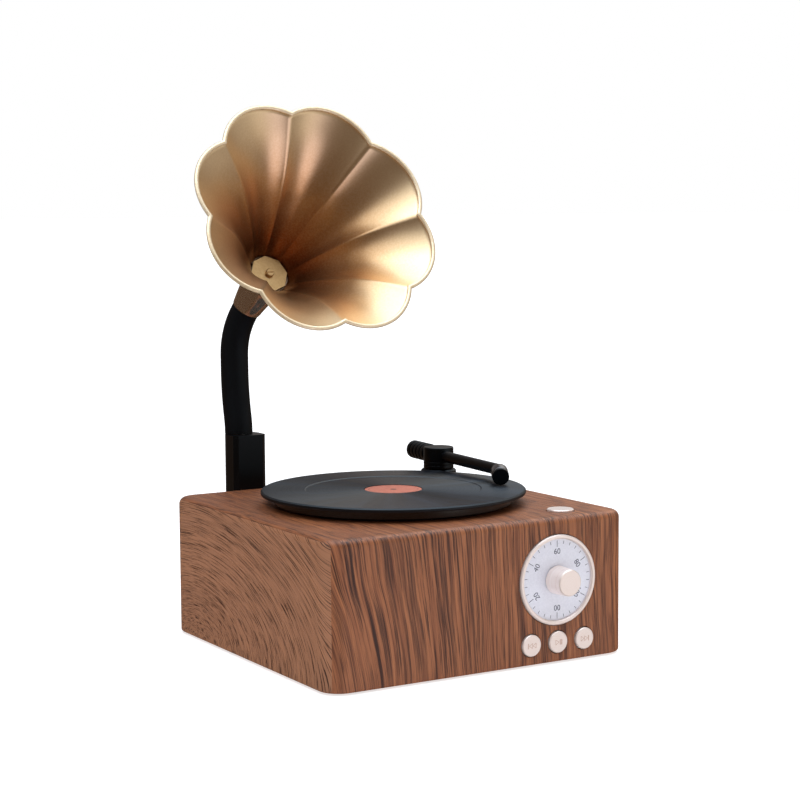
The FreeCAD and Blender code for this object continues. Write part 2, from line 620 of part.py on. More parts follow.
def build_switches():
    """Four switches on two boards, with the spacers that hold the boards to the walls."""
    behind = "stem_reach + button_travel + switch_gap"
    switches = [push_switch((x, "%s - cabinet_depth / 2" % behind, "button_z"), FACING_FRONT)
                for x in button_places()]
    switches.append(push_switch(("top_button_x", "top_button_y", "cabinet_height - (%s)" % behind), None))
    keep(group(switches), "push_switches")
    face = "(%s + switch_height)" % behind
    front_holes = [("dial_x + %d * spacer_reach" % i, "spacer_height") for i in SIGNS]
    top_holes = [("top_button_x + %d * spacer_reach" % i, "top_button_y + %d * spacer_reach" % i)
                 for i in SIGNS]
    board = block("button_board_width", "board_thickness", "button_board_height",
                  ("dial_x - button_board_width / 2", "%s - cabinet_depth / 2" % face, "button_board_foot"))
    keep(board, "button_board")
    keep(block("top_board_size", "top_board_size", "board_thickness",
               ("top_button_x - top_board_size / 2", "top_button_y - top_board_size / 2",
                "cabinet_height - board_thickness - " + face)), "top_switch_board")
    spacers = [cylinder("spacer_radius", face + " - wall", (x, INNER_FRONT, z), FACING_BACK)
               for x, z in front_holes]
    spacers += [cylinder("spacer_radius", face + " - wall", (x, y, "cabinet_height - " + face))
                for x, y in top_holes]
    keep(group(spacers), "board_spacers")


def build_dial():
    """Bezel, printed plate, potentiometer, nut, shaft and knob, measured out from the front face."""
    at = ("dial_x", FRONT, "dial_z")
    floor = "0 - dial_recess_depth"
    bezel = turned([("bezel_inner_radius", floor), ("bezel_radius", floor),
                    ("bezel_radius", "bezel_height - dial_recess_depth - 0.4"),
                    ("bezel_radius - 0.5", "bezel_height - dial_recess_depth"),
                    ("bezel_inner_radius + 0.5", "bezel_height - dial_recess_depth"),
                    ("bezel_inner_radius", "bezel_height - dial_recess_depth - 0.4")], at, FACING_FRONT)
    keep(bezel, "dial_bezel")
    plate_face = "dial_plate_thickness - dial_recess_depth"
    plate = turned([("pot_bush_radius + snug_gap", floor), ("dial_plate_radius", floor),
                    ("dial_plate_radius", plate_face), ("pot_bush_radius + snug_gap", plate_face)],
                   at, FACING_FRONT)
    keep(plate, "dial_plate")
    bore = "pot_shaft_radius + running_gap"
    pot = turned([("0", "0 - wall - pot_depth"), ("pot_radius", "0 - wall - pot_depth"),
                  ("pot_radius", "0 - wall"), ("pot_bush_radius", "0 - wall"),
                  ("pot_bush_radius", "pot_bush_rise"), (bore, "pot_bush_rise"),
                  (bore, "0.5 - wall - pot_depth / 2 - 1"), ("0", "0.5 - wall - pot_depth / 2 - 1")],
                 at, FACING_FRONT)
    keep(pot, "potentiometer")
    nut = cut(padded(hexagon("nut_radius"), "nut_height"),
              [cylinder("pot_bush_radius + snug_gap", "nut_height")])
    place(nut, ("dial_x", FRONT + " - (%s)" % plate_face, "dial_z"), FACING_FRONT)
    keep(nut, "potentiometer_nut")
    shaft = cylinder("pot_shaft_radius", "pot_shaft_rise + wall + pot_depth / 2",
                     ("dial_x", INNER_FRONT + " + pot_depth / 2", "dial_z"), FACING_FRONT)
    keep(shaft, "potentiometer_shaft")
    bore = "pot_shaft_radius + snug_gap"
    knob = turned([(bore, "knob_recess_depth"), ("knob_recess_radius", "knob_recess_depth"),
                   ("knob_recess_radius", "0"), ("knob_base_radius", "0"),
                   ("knob_face_radius", "knob_length - knob_bevel"),
                   ("knob_face_radius - knob_bevel", "knob_length"), ("0", "knob_length"),
                   ("0", "pot_shaft_rise + 0.1"), (bore, "pot_shaft_rise + 0.1")], at, FACING_FRONT)
    keep(knob, "tuning_knob")


# ---------------------------------------------------------------- turntable

def build_platter():
    low, top = "cabinet_height + platter_gap", "cabinet_height + platter_gap + platter_height"
    bore = "axle_radius + snug_gap"
    keep(turned([(bore, low), ("platter_radius - 0.6", low), ("platter_radius", low + " + 0.6"),
                 ("platter_radius", top), (bore, top)]), "platter")
    face = top + " + record_thickness"
    zone = face + " - record_zone_drop"
    seat = zone + " - label_recess"
    keep(turned([("0", top), ("record_radius - 0.3", top), ("record_radius", top + " + 0.5"),
                 ("record_radius", face + " - record_edge"), ("record_radius - record_edge", face),
                 ("record_zone_radius", face), ("record_zone_radius - 0.5", zone),
                 ("label_recess_radius", zone), ("label_recess_radius", seat), ("0", seat)]), "record")
    keep(cylinder("label_radius", "label_thickness", ("0", "0", seat)), "record_label")
    keep(cylinder("axle_radius", "axle_length", ("0", "0", top + " - axle_length")), "platter_axle")


def grooved_wheel(radius, bore, at):
    """A pulley with one square groove for the belt."""
    rise = "(pulley_height - groove_width) / 2"
    return turned([(bore, "0"), (radius + " + pulley_lip", "0"), (radius + " + pulley_lip", rise),
                   (radius, rise), (radius, rise + " + groove_width"),
                   (radius + " + pulley_lip", rise + " + groove_width"),
                   (radius + " + pulley_lip", "pulley_height"), (bore, "pulley_height")], at)


def build_drive():
    keep(grooved_wheel("big_groove_radius", "axle_radius + snug_gap", ("0", "0", "pulley_z")),
         "platter_pulley")
    keep(grooved_wheel("small_groove_radius", "motor_shaft_radius + snug_gap", ("motor_x", "0", "pulley_z")),
         "motor_pulley")
    foot = "bracket_z - motor_shaft_depth"
    keep(cylinder("motor_shaft_radius", "pulley_z + pulley_height - (%s)" % foot, ("motor_x", "0", foot)),
         "motor_shaft")
    bore, flange = "axle_radius + running_gap", "0 - wall - axle_flange_thickness"
    bush = turned([(bore, "0 - axle_bush_length"), ("axle_bush_radius", "0 - axle_bush_length"),
                   ("axle_bush_radius", flange), ("axle_flange_radius", flange),
                   ("axle_flange_radius", "0 - wall"), ("axle_bush_radius", "0 - wall"),
                   ("axle_bush_radius", "0"), (bore, "0")], ("0", "0", "cabinet_height"))
    keep(bush, "bearing_bush")
    motor = turned([("0", "0 - motor_height"), ("motor_radius - motor_bevel", "0 - motor_height"),
                    ("motor_radius", "motor_bevel - motor_height"), ("motor_radius", "0 - motor_bevel"),
                    ("motor_radius - motor_bevel", "0"), ("motor_shaft_radius + running_gap", "0"),
                    ("motor_shaft_radius + running_gap", "0 - motor_shaft_depth - 0.5"),
                    ("0", "0 - motor_shaft_depth - 0.5")], ("motor_x", "0", "bracket_z"))
    holes = [cylinder("small_screw_radius + snug_gap", "4",
                      ("motor_x", "%d * motor_screw_reach" % i, "bracket_z - 4"))
             for i in SIGNS]
    keep(cut(motor, holes), "drive_motor")
    build_motor_bracket()
    keep(belt_loop(), "drive_belt")


def build_motor_bracket():
    """A plate hung under the ceiling on four standoffs."""
    plate = block("bracket_size", "bracket_size", "bracket_thickness",
                  ("motor_x - bracket_size / 2", "0 - bracket_size / 2", "bracket_z"))
    holes = [cylinder("bracket_hole_radius", "2 * bracket_thickness", ("motor_x", "0", "bracket_z - 0.5"))]
    holes += [cylinder("small_screw_radius + snug_gap", "2 * bracket_thickness",
                       ("motor_x", "%d * motor_screw_reach" % i, "bracket_z - 0.5")) for i in SIGNS]
    keep(cut(plate, holes), "motor_bracket")
    posts = [cylinder("bracket_post_radius", CEILING + " - bracket_z - bracket_thickness",
                      ("motor_x + %d * bracket_post_x" % i, "%d * bracket_post_y" % j,
                       "bracket_z + bracket_thickness")) for i in SIGNS for j in SIGNS]
    keep(group(posts), "motor_standoffs")


def loop_outline(big, small):
    """Two arcs and two straight runs around the pulleys: big at the origin, small at the motor."""
    motor_x = dim("motor_x")
    lean = math.asin((big - small) / abs(motor_x))

    def rim(radius, centre_x, side):
        return Vector(centre_x - radius * math.sin(lean), side * radius * math.cos(lean), 0)

    far, near = Vector(big, 0, 0), Vector(motor_x - small, 0, 0)
    return Part.Wire([Part.Arc(rim(big, 0, -1), far, rim(big, 0, 1)).toShape(),
                      Part.makeLine(rim(big, 0, 1), rim(small, motor_x, 1)),
                      Part.Arc(rim(small, motor_x, 1), near, rim(small, motor_x, -1)).toShape(),
                      Part.makeLine(rim(small, motor_x, -1), rim(big, 0, -1))])


def belt_loop():
    """A square-section belt lying in both grooves."""
    gap, size = dim("belt_gap"), dim("belt_size")
    big, small = dim("big_groove_radius") + gap, dim("small_groove_radius") + gap
    ring = ring_face(loop_outline(big + size, small + size), loop_outline(big, small))
    belt = coded(ring.extrude(Vector(0, 0, size)))
    return place(belt, ("0", "0", "pulley_z + pulley_height / 2 - belt_size / 2"))


# ---------------------------------------------------------------- tonearm

def aim(obj, point, direction):
    """Put an object's local origin at a point with its local Z along a direction."""
    return set_down(obj, Placement(point, Rotation(Vector(0, 0, 1), direction)))


def set_down(obj, placement):
    """Give an object a placement worked out in code."""
    for axis in "xyz":
        obj.setExpression("Placement.Base.%s" % axis, None)
    obj.Placement = placement
    return obj


def arm_points():
    """Pivot, elbow, back of the head and tip of the head, on the arm's centre line."""
    height = dim("arm_z")
    pivot = Vector(dim("arm_x"), dim("arm_y"), height)
    elbow = Vector(dim("elbow_x"), dim("elbow_y"), height)
    head = Vector(dim("head_back_x"), dim("head_back_y"), height)
    tip = Vector(dim("head_tip_x"), dim("head_tip_y"), dim("head_tip_z"))
    return pivot, elbow, head, tip


def unit(vector):
    return Vector(vector).normalize()


def tube_along(edges, radius, bore):
    """A round tube swept along joined edges, from the start of the first."""
    start = edges[0].valueAt(edges[0].FirstParameter)
    way = edges[0].tangentAt(edges[0].FirstParameter)
    rings = [Part.Wire(Part.makeCircle(size, start, way)) for size in (radius, bore)]
    return Part.Wire(edges).makePipe(ring_face(*rings))


def ring_face(outline, hole):
    """The flat face between two closed outlines."""
    return Part.Face(outline).cut(Part.Face(hole)).Faces[0]


def bent_line(first, corner, last, radius):
    """Two straight runs joined by a tangent arc inside the corner."""
    before, after = unit(corner - first), unit(last - corner)
    reach = radius * math.tan(before.getAngle(after) / 2)
    start, end = corner - before * reach, corner + after * reach
    inward = unit(after - before)
    middle = corner + inward * (math.hypot(reach, radius) - radius)
    return [Part.makeLine(first, start), Part.Arc(start, middle, end).toShape(), Part.makeLine(end, last)]


def build_tonearm():
    pivot, elbow, head, tip = arm_points()
    ahead = unit(elbow - pivot)
    build_arm_mount()
    drum = turned([("0", "arm_drum_foot"), ("drum_radius", "arm_drum_foot"),
                   ("drum_radius", "drum_top_z - drum_round"), ("drum_radius - drum_round", "drum_top_z"),
                   ("0", "drum_top_z")], ("arm_x", "arm_y", "0"))
    axle_hole = cylinder("arm_axle_radius + snug_gap", "arm_axle_high - arm_drum_foot + 1.05",
                         ("arm_x", "arm_y", "arm_drum_foot - 1"))
    cross = cylinder("arm_tube_radius + snug_gap", "4 * drum_radius")
    aim(cross, pivot - ahead * dim("2 * drum_radius"), ahead)
    keep(cut(drum, [axle_hole, cross]), "tonearm_drum")
    rear = pivot - ahead * dim("weight_start + weight_length - weight_end - snug_gap")
    shell = tube_along(bent_line(rear, elbow, head + unit(tip - head), dim("elbow_radius")),
                       dim("arm_tube_radius"), dim("arm_tube_bore"))
    pointing = unit(tip - head)
    shell = shell.cut(Part.makeCylinder(dim("2 * head_radius"), dim("head_radius"), head, pointing))
    keep(coded(shell), "tonearm_tube")
    keep(aim(counterweight(), pivot - ahead * dim("weight_start"), ahead * -1), "counterweight")
    length = (tip - head).Length - dim("head_cap_length")
    sleeve = coded(Part.makeCylinder(dim("head_radius"), length))
    keep(aim(sleeve, head, pointing), "headshell")
    cap = turned([("0", "0"), ("head_radius", "0"), ("head_radius", "head_cap_length - 0.5"),
                  ("head_radius - 0.5", "head_cap_length"), ("0", "head_cap_length")])
    keep(aim(cap, head + pointing * length, pointing), "headshell_cap")


def counterweight():
    """A ribbed weight with a blind hole for the end of the tube."""
    bore = "arm_tube_radius + snug_gap"
    rib = "weight_length / 5"
    outline = [(bore, "0"), ("weight_radius", "0")]
    for i in (1, 2, 3, 4):
        start, end = "%d * %s - 0.5" % (i, rib), "%d * %s + 0.5" % (i, rib)
        outline += [("weight_radius", start), ("weight_radius - weight_groove", start),
                    ("weight_radius - weight_groove", end), ("weight_radius", end)]
    outline += [("weight_radius", "weight_length - 0.5"), ("weight_radius - 0.5", "weight_length"),
                ("0", "weight_length"), ("0", "weight_length - weight_end"),
                (bore, "weight_length - weight_end")]
    return turned(outline)


def build_arm_mount():
    """The fixed bush on the cabinet, and the axle and nut that turn in it."""
    bore = "arm_axle_radius + running_gap"
    base = turned([(bore, "0 - wall"), ("arm_spigot_radius", "0 - wall"), ("arm_spigot_radius", "0"),
                   ("arm_base_radius", "0"), ("arm_base_radius", "arm_base_height - 0.6"),
                   ("arm_base_radius - 0.6", "arm_base_height"), (bore, "arm_base_height")],
                  ("arm_x", "arm_y", "cabinet_height"))
    keep(base, "tonearm_base")
    keep(cylinder("arm_axle_radius", "arm_axle_high - arm_axle_low", ("arm_x", "arm_y", "arm_axle_low")),
         "tonearm_axle")
    nut = cut(padded(hexagon("nut_radius"), "arm_nut_height"),
              [cylinder("arm_axle_radius + snug_gap", "arm_nut_height")])
    keep(place(nut, ("arm_x", "arm_y", "arm_nut_z")), "tonearm_nut")


# ---------------------------------------------------------------- horn's post and swivel

def build_post():
    """A column with a flat front on the cabinet and a half-round back."""
    flank = [("0 - post_radius", "post_round_y"), ("0 - post_radius", "cabinet_depth / 2 + post_bevel"),
             ("post_bevel - post_radius", BACK), ("post_radius - post_bevel", BACK),
             ("post_radius", "cabinet_depth / 2 + post_bevel"), ("post_radius", "post_round_y")]
    height = "post_top_z - post_foot_z"
    column = fused([padded(flank, height, ("post_x", "0", "post_foot_z")),
                    cylinder("post_radius", height, ("post_x", "post_round_y", "post_foot_z"))])
    column.Refine = True
    tools = [cylinder("socket_radius + socket_wall + snug_gap", "socket_depth + 1",
                      ("neck_x", "neck_y", "post_top_z - socket_depth"))]
    tools += [along_front("wood_screw_radius + snug_gap", "wood_screw_length + 1", "post_x",
                          INNER_BACK + " + wood_screw_length + 0.4", z) for z in post_screw_heights()]
    tools.append(cylinder("grub_radius + snug_gap", "2 * post_radius", ("neck_x", "neck_y", "grub_z"),
                          FACING_BACK))
    keep(cut(column, tools), "horn_post")


def build_swivel():
    """Bush and stop screw in the post, and the plug that turns in the bush."""
    bush = turned([("socket_radius", "0 - socket_depth"), ("socket_radius + socket_wall", "0 - socket_depth"),
                   ("socket_radius + socket_wall", "0"), ("socket_radius", "0")],
                  ("neck_x", "neck_y", "post_top_z"))
    hole = cylinder("grub_radius + snug_gap", "2 * socket_radius", ("neck_x", "neck_y", "grub_z"),
                    FACING_BACK)
    keep(cut(bush, [hole]), "socket_bush")
    drive = place(padded(hexagon("0.75"), "1.2"), ("0", "0", "grub_length - 1"))
    grub = cut(cylinder("grub_radius", "grub_length"), [drive])
    keep(place(grub, ("neck_x", "neck_y + grub_tip", "grub_z"), FACING_BACK), "neck_grub_screw")
    seat = "post_top_z + neck_gap - plug_foot_z"
    radius = "socket_radius - running_gap"
    plug = turned([("0", "0"), (radius + " - 0.5", "0"), (radius, "0.5"), (radius, seat),
                   ("spigot_radius", seat),
                   ("spigot_radius", seat + " + spigot_length"), ("0", seat + " + spigot_length")],
                  ("neck_x", "neck_y", "plug_foot_z"))
    low = "grub_z - plug_groove_height / 2"
    turn = Rotation(Vector(0, 0, 1), 90 - dim("plug_groove_angle") / 2)
    wedge = bind(cylinder("2 * socket_radius", "plug_groove_height", ("neck_x", "neck_y", low), turn),
                 Angle="plug_groove_angle")
    core = cylinder("plug_groove_radius", "2 * plug_groove_height",
                    ("neck_x", "neck_y", "grub_z - plug_groove_height"))
    keep(cut(plug, [cut(wedge, [core])]), "neck_plug")


def neck_path():
    """Centre line of the neck: it tilts back, comes upright, then bends forward to the horn."""
    back = Vector(-math.sin(math.radians(dim("neck_turn"))), math.cos(math.radians(dim("neck_turn"))), 0)
    tilt = math.radians(dim("neck_tilt"))
    point = Vector(dim("neck_x"), dim("neck_y"), dim("post_top_z + neck_gap"))
    first, point, lean = lean_arc(point, 0, tilt, dim("tilt_length"), back)
    second, point, lean = lean_arc(point, lean, -tilt, dim("return_length"), back)
    top = point + Vector(0, 0, dim("upright_length"))
    bend = math.radians(dim("bend_angle"))
    last, end, lean = lean_arc(top, 0, -bend, bend * dim("bend_radius"), back)
    return [first, second, Part.makeLine(point, top), last], end, heading(lean, back)


def heading(lean, back):
    """Unit vector that leans from upright by an angle towards the given side."""
    return back * math.sin(lean) + Vector(0, 0, 1) * math.cos(lean)


def lean_arc(start, lean, change, length, back):
    """An arc that starts at one lean and changes it over its length."""
    chord = 2 * length / abs(change) * math.sin(abs(change) / 2)
    end = start + heading(lean + change / 2, back) * chord
    half = 2 * length / abs(change) * math.sin(abs(change) / 4)
    middle = start + heading(lean + change / 4, back) * half
    return Part.Arc(start, middle, end).toShape(), end, lean + change


# ---------------------------------------------------------------- horn

def horn_frame():
    """Middle of the throat, and the directions across, up and out of the horn."""
    rise, turn = math.radians(dim("horn_elevation")), math.radians(dim("horn_azimuth"))
    out = Vector(math.sin(turn) * math.cos(rise), -math.cos(turn) * math.cos(rise), math.sin(rise))
    across = Vector(math.cos(turn), math.sin(turn), 0)
    mouth = Vector(dim("horn_x"), dim("horn_y"), dim("horn_z"))
    return mouth - out * dim("horn_depth"), across, out.cross(across), out


def lobed_outline(crease, middle, centre, across, up):
    """A closed outline of equal arcs that meet in creases."""
    def at(turn, radius):
        angle = math.radians(turn)
        return centre + across * (radius * math.cos(angle)) + up * (radius * math.sin(angle))

    step = 360.0 / LOBES
    arcs = [Part.Arc(at(i * step, crease), at((i + 0.5) * step, middle), at((i + 1) * step, crease))
            for i in range(LOBES)]
    return Part.Wire([arc.toShape() for arc in arcs])


def flat_lobes(crease, middle, height):
    """The outline at a height of the horn's own frame."""
    return lobed_outline(crease, middle, Vector(0, 0, height), Vector(1, 0, 0), Vector(0, 1, 0))


def flare(extra, length):
    """The solid inside the horn's surface, grown outwards by an extra thickness."""
    sections = [flat_lobes(crease + extra, middle + extra, fraction * length)
                for fraction, crease, middle in HORN_PROFILE]
    return Part.makeLoft(sections, True, False)


def throat_prism(extra, low, high):
    """The straight eight-sided end of the horn."""
    crease, middle = HORN_PROFILE[0][1:]
    face = Part.Face(flat_lobes(crease + extra, middle + extra, low))
    return face.extrude(Vector(0, 0, high - low))


def set_in_horn(obj, height=0.0):
    """Place an object made in the horn's own frame at a height along it."""
    throat, across, up, out = horn_frame()
    return set_down(obj, Placement(throat + out * height, Rotation(across, up, out, "ZXY")))


def build_horn():
    wall, tail = dim("horn_wall"), dim("throat_plate_thickness")
    length = dim("horn_depth - rim_thickness / 2")
    outer = flare(wall, length).fuse(throat_prism(wall, -tail, 0))
    inner = flare(0, length).fuse(throat_prism(0, -tail, 0))
    keep(set_in_horn(coded(outer.cut(inner))), "horn_bell")
    crease, middle = HORN_PROFILE[-1][1:]
    proud, inset = wall + dim("rim_proud"), dim("rim_inset")
    ring = ring_face(flat_lobes(crease + proud, middle + proud, length),
                     flat_lobes(crease - inset, middle - inset, length))
    keep(set_in_horn(coded(ring.extrude(Vector(0, 0, dim("rim_thickness"))))), "horn_rim")
    build_throat()


def build_throat():
    """The plate that closes the throat and the screw through it."""
    reach = "(%.3f - throat_gap)" % HORN_PROFILE[0][1]
    outline = [("%s * cos(%d)" % (reach, 45 * i), "%s * sin(%d)" % (reach, 45 * i)) for i in range(LOBES)]
    plate = cut(padded(outline, "throat_plate_thickness"),
                [cylinder("throat_screw_radius + snug_gap", "throat_plate_thickness")])
    keep(set_in_horn(plate, -dim("throat_plate_thickness")), "throat_plate")
    screw = pan_screw("throat_screw_radius", "throat_screw_length", "throat_screw_head", "screw_head_height",
                      ("0", "0", "0"))
    throat, across, up, out = horn_frame()
    keep(set_down(screw, Placement(throat, Rotation(across, up * -1, out * -1, "ZXY"))), "throat_screw")


def build_neck_and_collar():
    edges, end, upward = neck_path()
    keep(coded(tube_along(edges, dim("neck_radius"), dim("neck_bore_radius"))), "neck_tube")
    keep(coded(collar(end, upward)), "horn_collar")


def collar(end, upward):
    """An eight-sided elbow from the horn's throat down to a round ring on the neck."""
    throat, across, up, out = horn_frame()
    start = throat - out * dim("throat_plate_thickness")
    span = (start - end).Length
    wall = dim("horn_wall")
    crease, middle = HORN_PROFILE[0][1] + wall, HORN_PROFILE[0][2] + wall
    sections = []
    for i in range(COLLAR_SECTIONS + 1):
        t = i / COLLAR_SECTIONS
        centre = curve_point(start, out * -span, end, upward * -span, t)
        normal = unit(out * (1 - t) + upward * t)
        side = unit(across - normal * across.dot(normal))
        ring = dim("collar_radius")
        sections.append(lobed_outline(crease + (ring - crease) * t, middle + (ring - middle) * t,
                                      centre, side, normal.cross(side)))
    solid = Part.makeLoft(sections, True, False)
    bore = dim("throat_screw_radius + snug_gap")
    hole = Part.makeCylinder(bore, dim("throat_screw_length"), start, out * -1)
    return solid.cut(hole)


def curve_point(start, leaving, end, arriving, t):
    """A point of the cubic curve with given ends and end directions."""
    return (start * (2 * t ** 3 - 3 * t ** 2 + 1) + leaving * (t ** 3 - 2 * t ** 2 + t)
            + end * (3 * t ** 2 - 2 * t ** 3) + arriving * (t ** 3 - t ** 2))


# ---------------------------------------------------------------- build, check and write

def check_and_write():
    doc.recompute()
    failed = [obj.Name for obj in doc.Objects if {"Invalid", "Error"} & set(obj.State)]
    bad = [obj.Label for obj in kept if obj.Shape.isNull() or not obj.Shape.isValid()]
    if failed or bad:
        raise RuntimeError("failed objects %s, bad shapes %s" % (failed, bad))
    os.makedirs("parts", exist_ok=True)
    for obj in kept:
        box = obj.Shape.BoundBox
        print("%-22s solids %2d  volume %9.1f  x %7.2f %7.2f  y %7.2f %7.2f  z %7.2f %7.2f" % (
            obj.Label, len(obj.Shape.Solids), obj.Shape.Volume,
            box.XMin, box.XMax, box.YMin, box.YMax, box.ZMin, box.ZMax))
        obj.Shape.exportStep("parts/%s.step" % obj.Label)


for build in (build_cabinet_shell, build_base_panel, build_corner_blocks, build_feet, build_wood_screws,
              build_small_screws, build_grille, build_driver, build_amplifier, build_sockets, build_battery,
              build_buttons, build_switches, build_dial, build_platter, build_drive, build_tonearm,
              build_post, build_swivel, build_horn, build_neck_and_collar):
    build()
check_and_write()
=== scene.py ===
import json
import math
import bmesh
import bpy
from mathutils import Matrix, Vector


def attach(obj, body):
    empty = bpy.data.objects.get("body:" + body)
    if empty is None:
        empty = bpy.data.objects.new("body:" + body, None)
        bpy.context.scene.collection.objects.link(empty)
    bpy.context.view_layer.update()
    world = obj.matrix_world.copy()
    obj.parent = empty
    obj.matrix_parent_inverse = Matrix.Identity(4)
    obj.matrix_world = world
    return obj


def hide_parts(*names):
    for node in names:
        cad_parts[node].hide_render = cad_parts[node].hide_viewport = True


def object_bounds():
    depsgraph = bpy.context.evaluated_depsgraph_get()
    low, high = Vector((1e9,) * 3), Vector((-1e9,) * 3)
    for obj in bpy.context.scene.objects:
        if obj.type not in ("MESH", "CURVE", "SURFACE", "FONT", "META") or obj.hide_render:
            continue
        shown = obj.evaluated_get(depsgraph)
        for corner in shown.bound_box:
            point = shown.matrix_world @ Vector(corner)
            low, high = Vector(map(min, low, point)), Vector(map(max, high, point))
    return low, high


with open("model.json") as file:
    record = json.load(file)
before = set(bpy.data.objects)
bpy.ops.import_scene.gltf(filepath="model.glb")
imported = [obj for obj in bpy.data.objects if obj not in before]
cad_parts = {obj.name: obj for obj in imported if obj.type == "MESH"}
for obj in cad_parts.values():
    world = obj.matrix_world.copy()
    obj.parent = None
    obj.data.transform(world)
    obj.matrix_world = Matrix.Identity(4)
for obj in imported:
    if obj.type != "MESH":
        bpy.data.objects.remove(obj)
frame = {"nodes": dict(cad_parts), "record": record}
CAD_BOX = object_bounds()
MM = 0.001

# Lengths are in millimetres, but for those of the floor and the camera.
# The horn: the middle of its mouth, how its axis lies, its depth, and the lobed outline's radii at creases
# and between them, by the fraction of the depth from the throat.
HORN_MOUTH = Vector((-29.1, 19.6, 204.8))
HORN_RISE, HORN_TURN = math.radians(28.6), math.radians(-1.2)
HORN_DEPTH, HORN_LENGTH, HORN_WALL = 60.8, 59.9, 1.2
HORN_PROFILE = [
    (0.00, 10.0, 10.2), (0.16, 14.3, 15.1), (0.31, 19.3, 20.9), (0.44, 24.2, 26.6),
    (0.55, 28.5, 31.5), (0.69, 34.9, 38.6), (0.85, 44.4, 48.9), (1.00, 55.0, 61.0),
]
LOBES = 8
HORN_STEPS = 56
THROAT_REACH = 2.4
RIM_HALF_WIDTH, RIM_HALF_HEIGHT, RIM_RISE = 1.08, 0.88, 0.9

# The tonearm: the middle of its tube at the pivot, elbow and head, and the outlines of its turned pieces.
ARM_PIVOT, ARM_ELBOW = Vector((59.0, 53.0, 80.1)), Vector((53.9, -9.0, 80.1))
HEAD_BACK, HEAD_TIP = Vector((50.9, -15.4, 80.1)), Vector((46.4, -23.5, 78.5))
DRUM_OUTLINE = [
    (0, 73.3), (7.8, 73.3), (7.8, 75.2), (7.45, 75.2), (7.45, 75.6), (7.8, 75.6),
    (7.8, 77.0), (7.45, 77.0), (7.45, 77.4), (7.8, 77.4), (7.8, 84.5), (0, 84.5),
]
WEIGHT_RADIUS, WEIGHT_START, WEIGHT_LENGTH = 4.75, 9.5, 18.5
GROOVES, GROOVE_PITCH, GROOVE_RADIUS = 4, 3.7, 4.05
GROOVE_TOP_HALF, GROOVE_FLOOR_HALF = 0.55, 0.45
HEAD_RADIUS, HEAD_BACK_RADIUS, HEAD_TAPER = 4.2, 3.9, 1.2
CAP_RADIUS, CAP_LENGTH = 4.15, 2.2

# The front: the middle of the dial, its printed face and marks, and the buttons.
DIAL = Vector((39.6, -80.0, 38.3))
DIAL_FACE_Y = -79.6
TICKS, TICKS_PER_NUMBER, TICK_OUTER = 30, 5, 18.1
LONG_TICK_INNER, LONG_TICK_WIDTH = 15.2, 0.26
SHORT_TICK_INNER, SHORT_TICK_WIDTH = 16.6, 0.22
PRINT_THICK, PRINT_SUNK, NUMERAL_AHEAD = 0.06, 0.02, 0.02
NUMERALS = (("60", 0), ("80", 60), ("100", 120), ("00", 180), ("20", 240), ("40", 300))
NUMERAL_SIZE, NUMERAL_CIRCLE = 3.7, 13.0
BUTTONS_X, BUTTON_Z, BUTTON_FACE = (24.8, 39.6, 54.4), 9.4, -81.0
ICON_HALF, ICON_LINE, ICON_THICK, ICON_BAR_HALF = 1.15, 0.24, 0.07, 0.16

# The record: edge of the grooves, spacing of the fine rings, and the label's printed ring and hole.
GROOVED_RADIUS, GROOVE_STEP = 62.6, 0.7
LABEL_RING, LABEL_RING_HALF, LABEL_HOLE = 11.9, 0.18, 1.4

# Studio light: azimuth, elevation, full and outer half angles in degrees, brightness, tint.
LIGHT_PANELS = [
    (90, 86, 8, 48, 2.7, (0.92, 1.03, 1.15)),
    (-75, 50, 4, 33, 1.6, (0.96, 1.0, 1.04)),
    (122, 38, 4, 29, 1.3, (1.0, 1.0, 0.94)),
    (11, -30, 4, 24, 1.5, (0.98, 0.90, 1.10)),
    (45, 18, 6, 52, 0.46, (1.0, 1.0, 0.97)),
    (31, -5, 6, 17, 0.5, (1.0, 0.99, 0.97)),
    (156, 6, 10, 42, 0.2, (0.88, 0.94, 1.0)),
]
DIM_LIGHT = (0.105, 0.060, 0.034)

# Walnut: its colours as 8-bit screen values, the line that the sides' grain arches round, how far the grain
# waves and leans, and how squarely a face looks sideways or up to count as side or top.
WALNUT_LIGHT, WALNUT_MID, WALNUT_DARK = (172, 107, 66), (124, 70, 42), (56, 26, 17)
# The paler grey on the next line is a painted sheen, laid over the side faces for the light that falls on
# them.
WALNUT_PORE, WALNUT_SIDE_SHEEN = (46, 24, 18), (172, 122, 90)
ARCH_Y, ARCH_Z, ARCH_STRETCH, ARCH_RADIUS = 56.0, -2.0, 1.95, 55.0
GRAIN_WAVE = 10.0
LEAN_FROM, LEAN_TO, LEAN_LEFT, LEAN_RIGHT = -80.0, 10.0, 0.22, 0.02
SIDE_FACING, TOP_FACING = 0.72, 0.8

# The floor: half its width in metres, and how much it glows.
FLOOR_REACH, FLOOR_GLOW = 30.0, 0.68

# The camera: its place in metres, its turn, pitch and roll in degrees, and its lens and sensor.
CAMERA_PLACE = Vector((-0.46994, -0.78971, 0.20950))
CAMERA_ANGLES = (-30.973, 5.775, -0.358)
CAMERA_LENS, CAMERA_SENSOR = 86.84, 36.0


# ---------------------------------------------------------------- mesh helpers

def horn_axes():
    """Middle of the throat, and the directions across, up and out of the horn."""
    out = Vector((math.sin(HORN_TURN) * math.cos(HORN_RISE), -math.cos(HORN_TURN) * math.cos(HORN_RISE),
                  math.sin(HORN_RISE)))
    across = Vector((math.cos(HORN_TURN), math.sin(HORN_TURN), 0.0))
    return HORN_MOUTH - out * HORN_DEPTH, across, out.cross(across), out


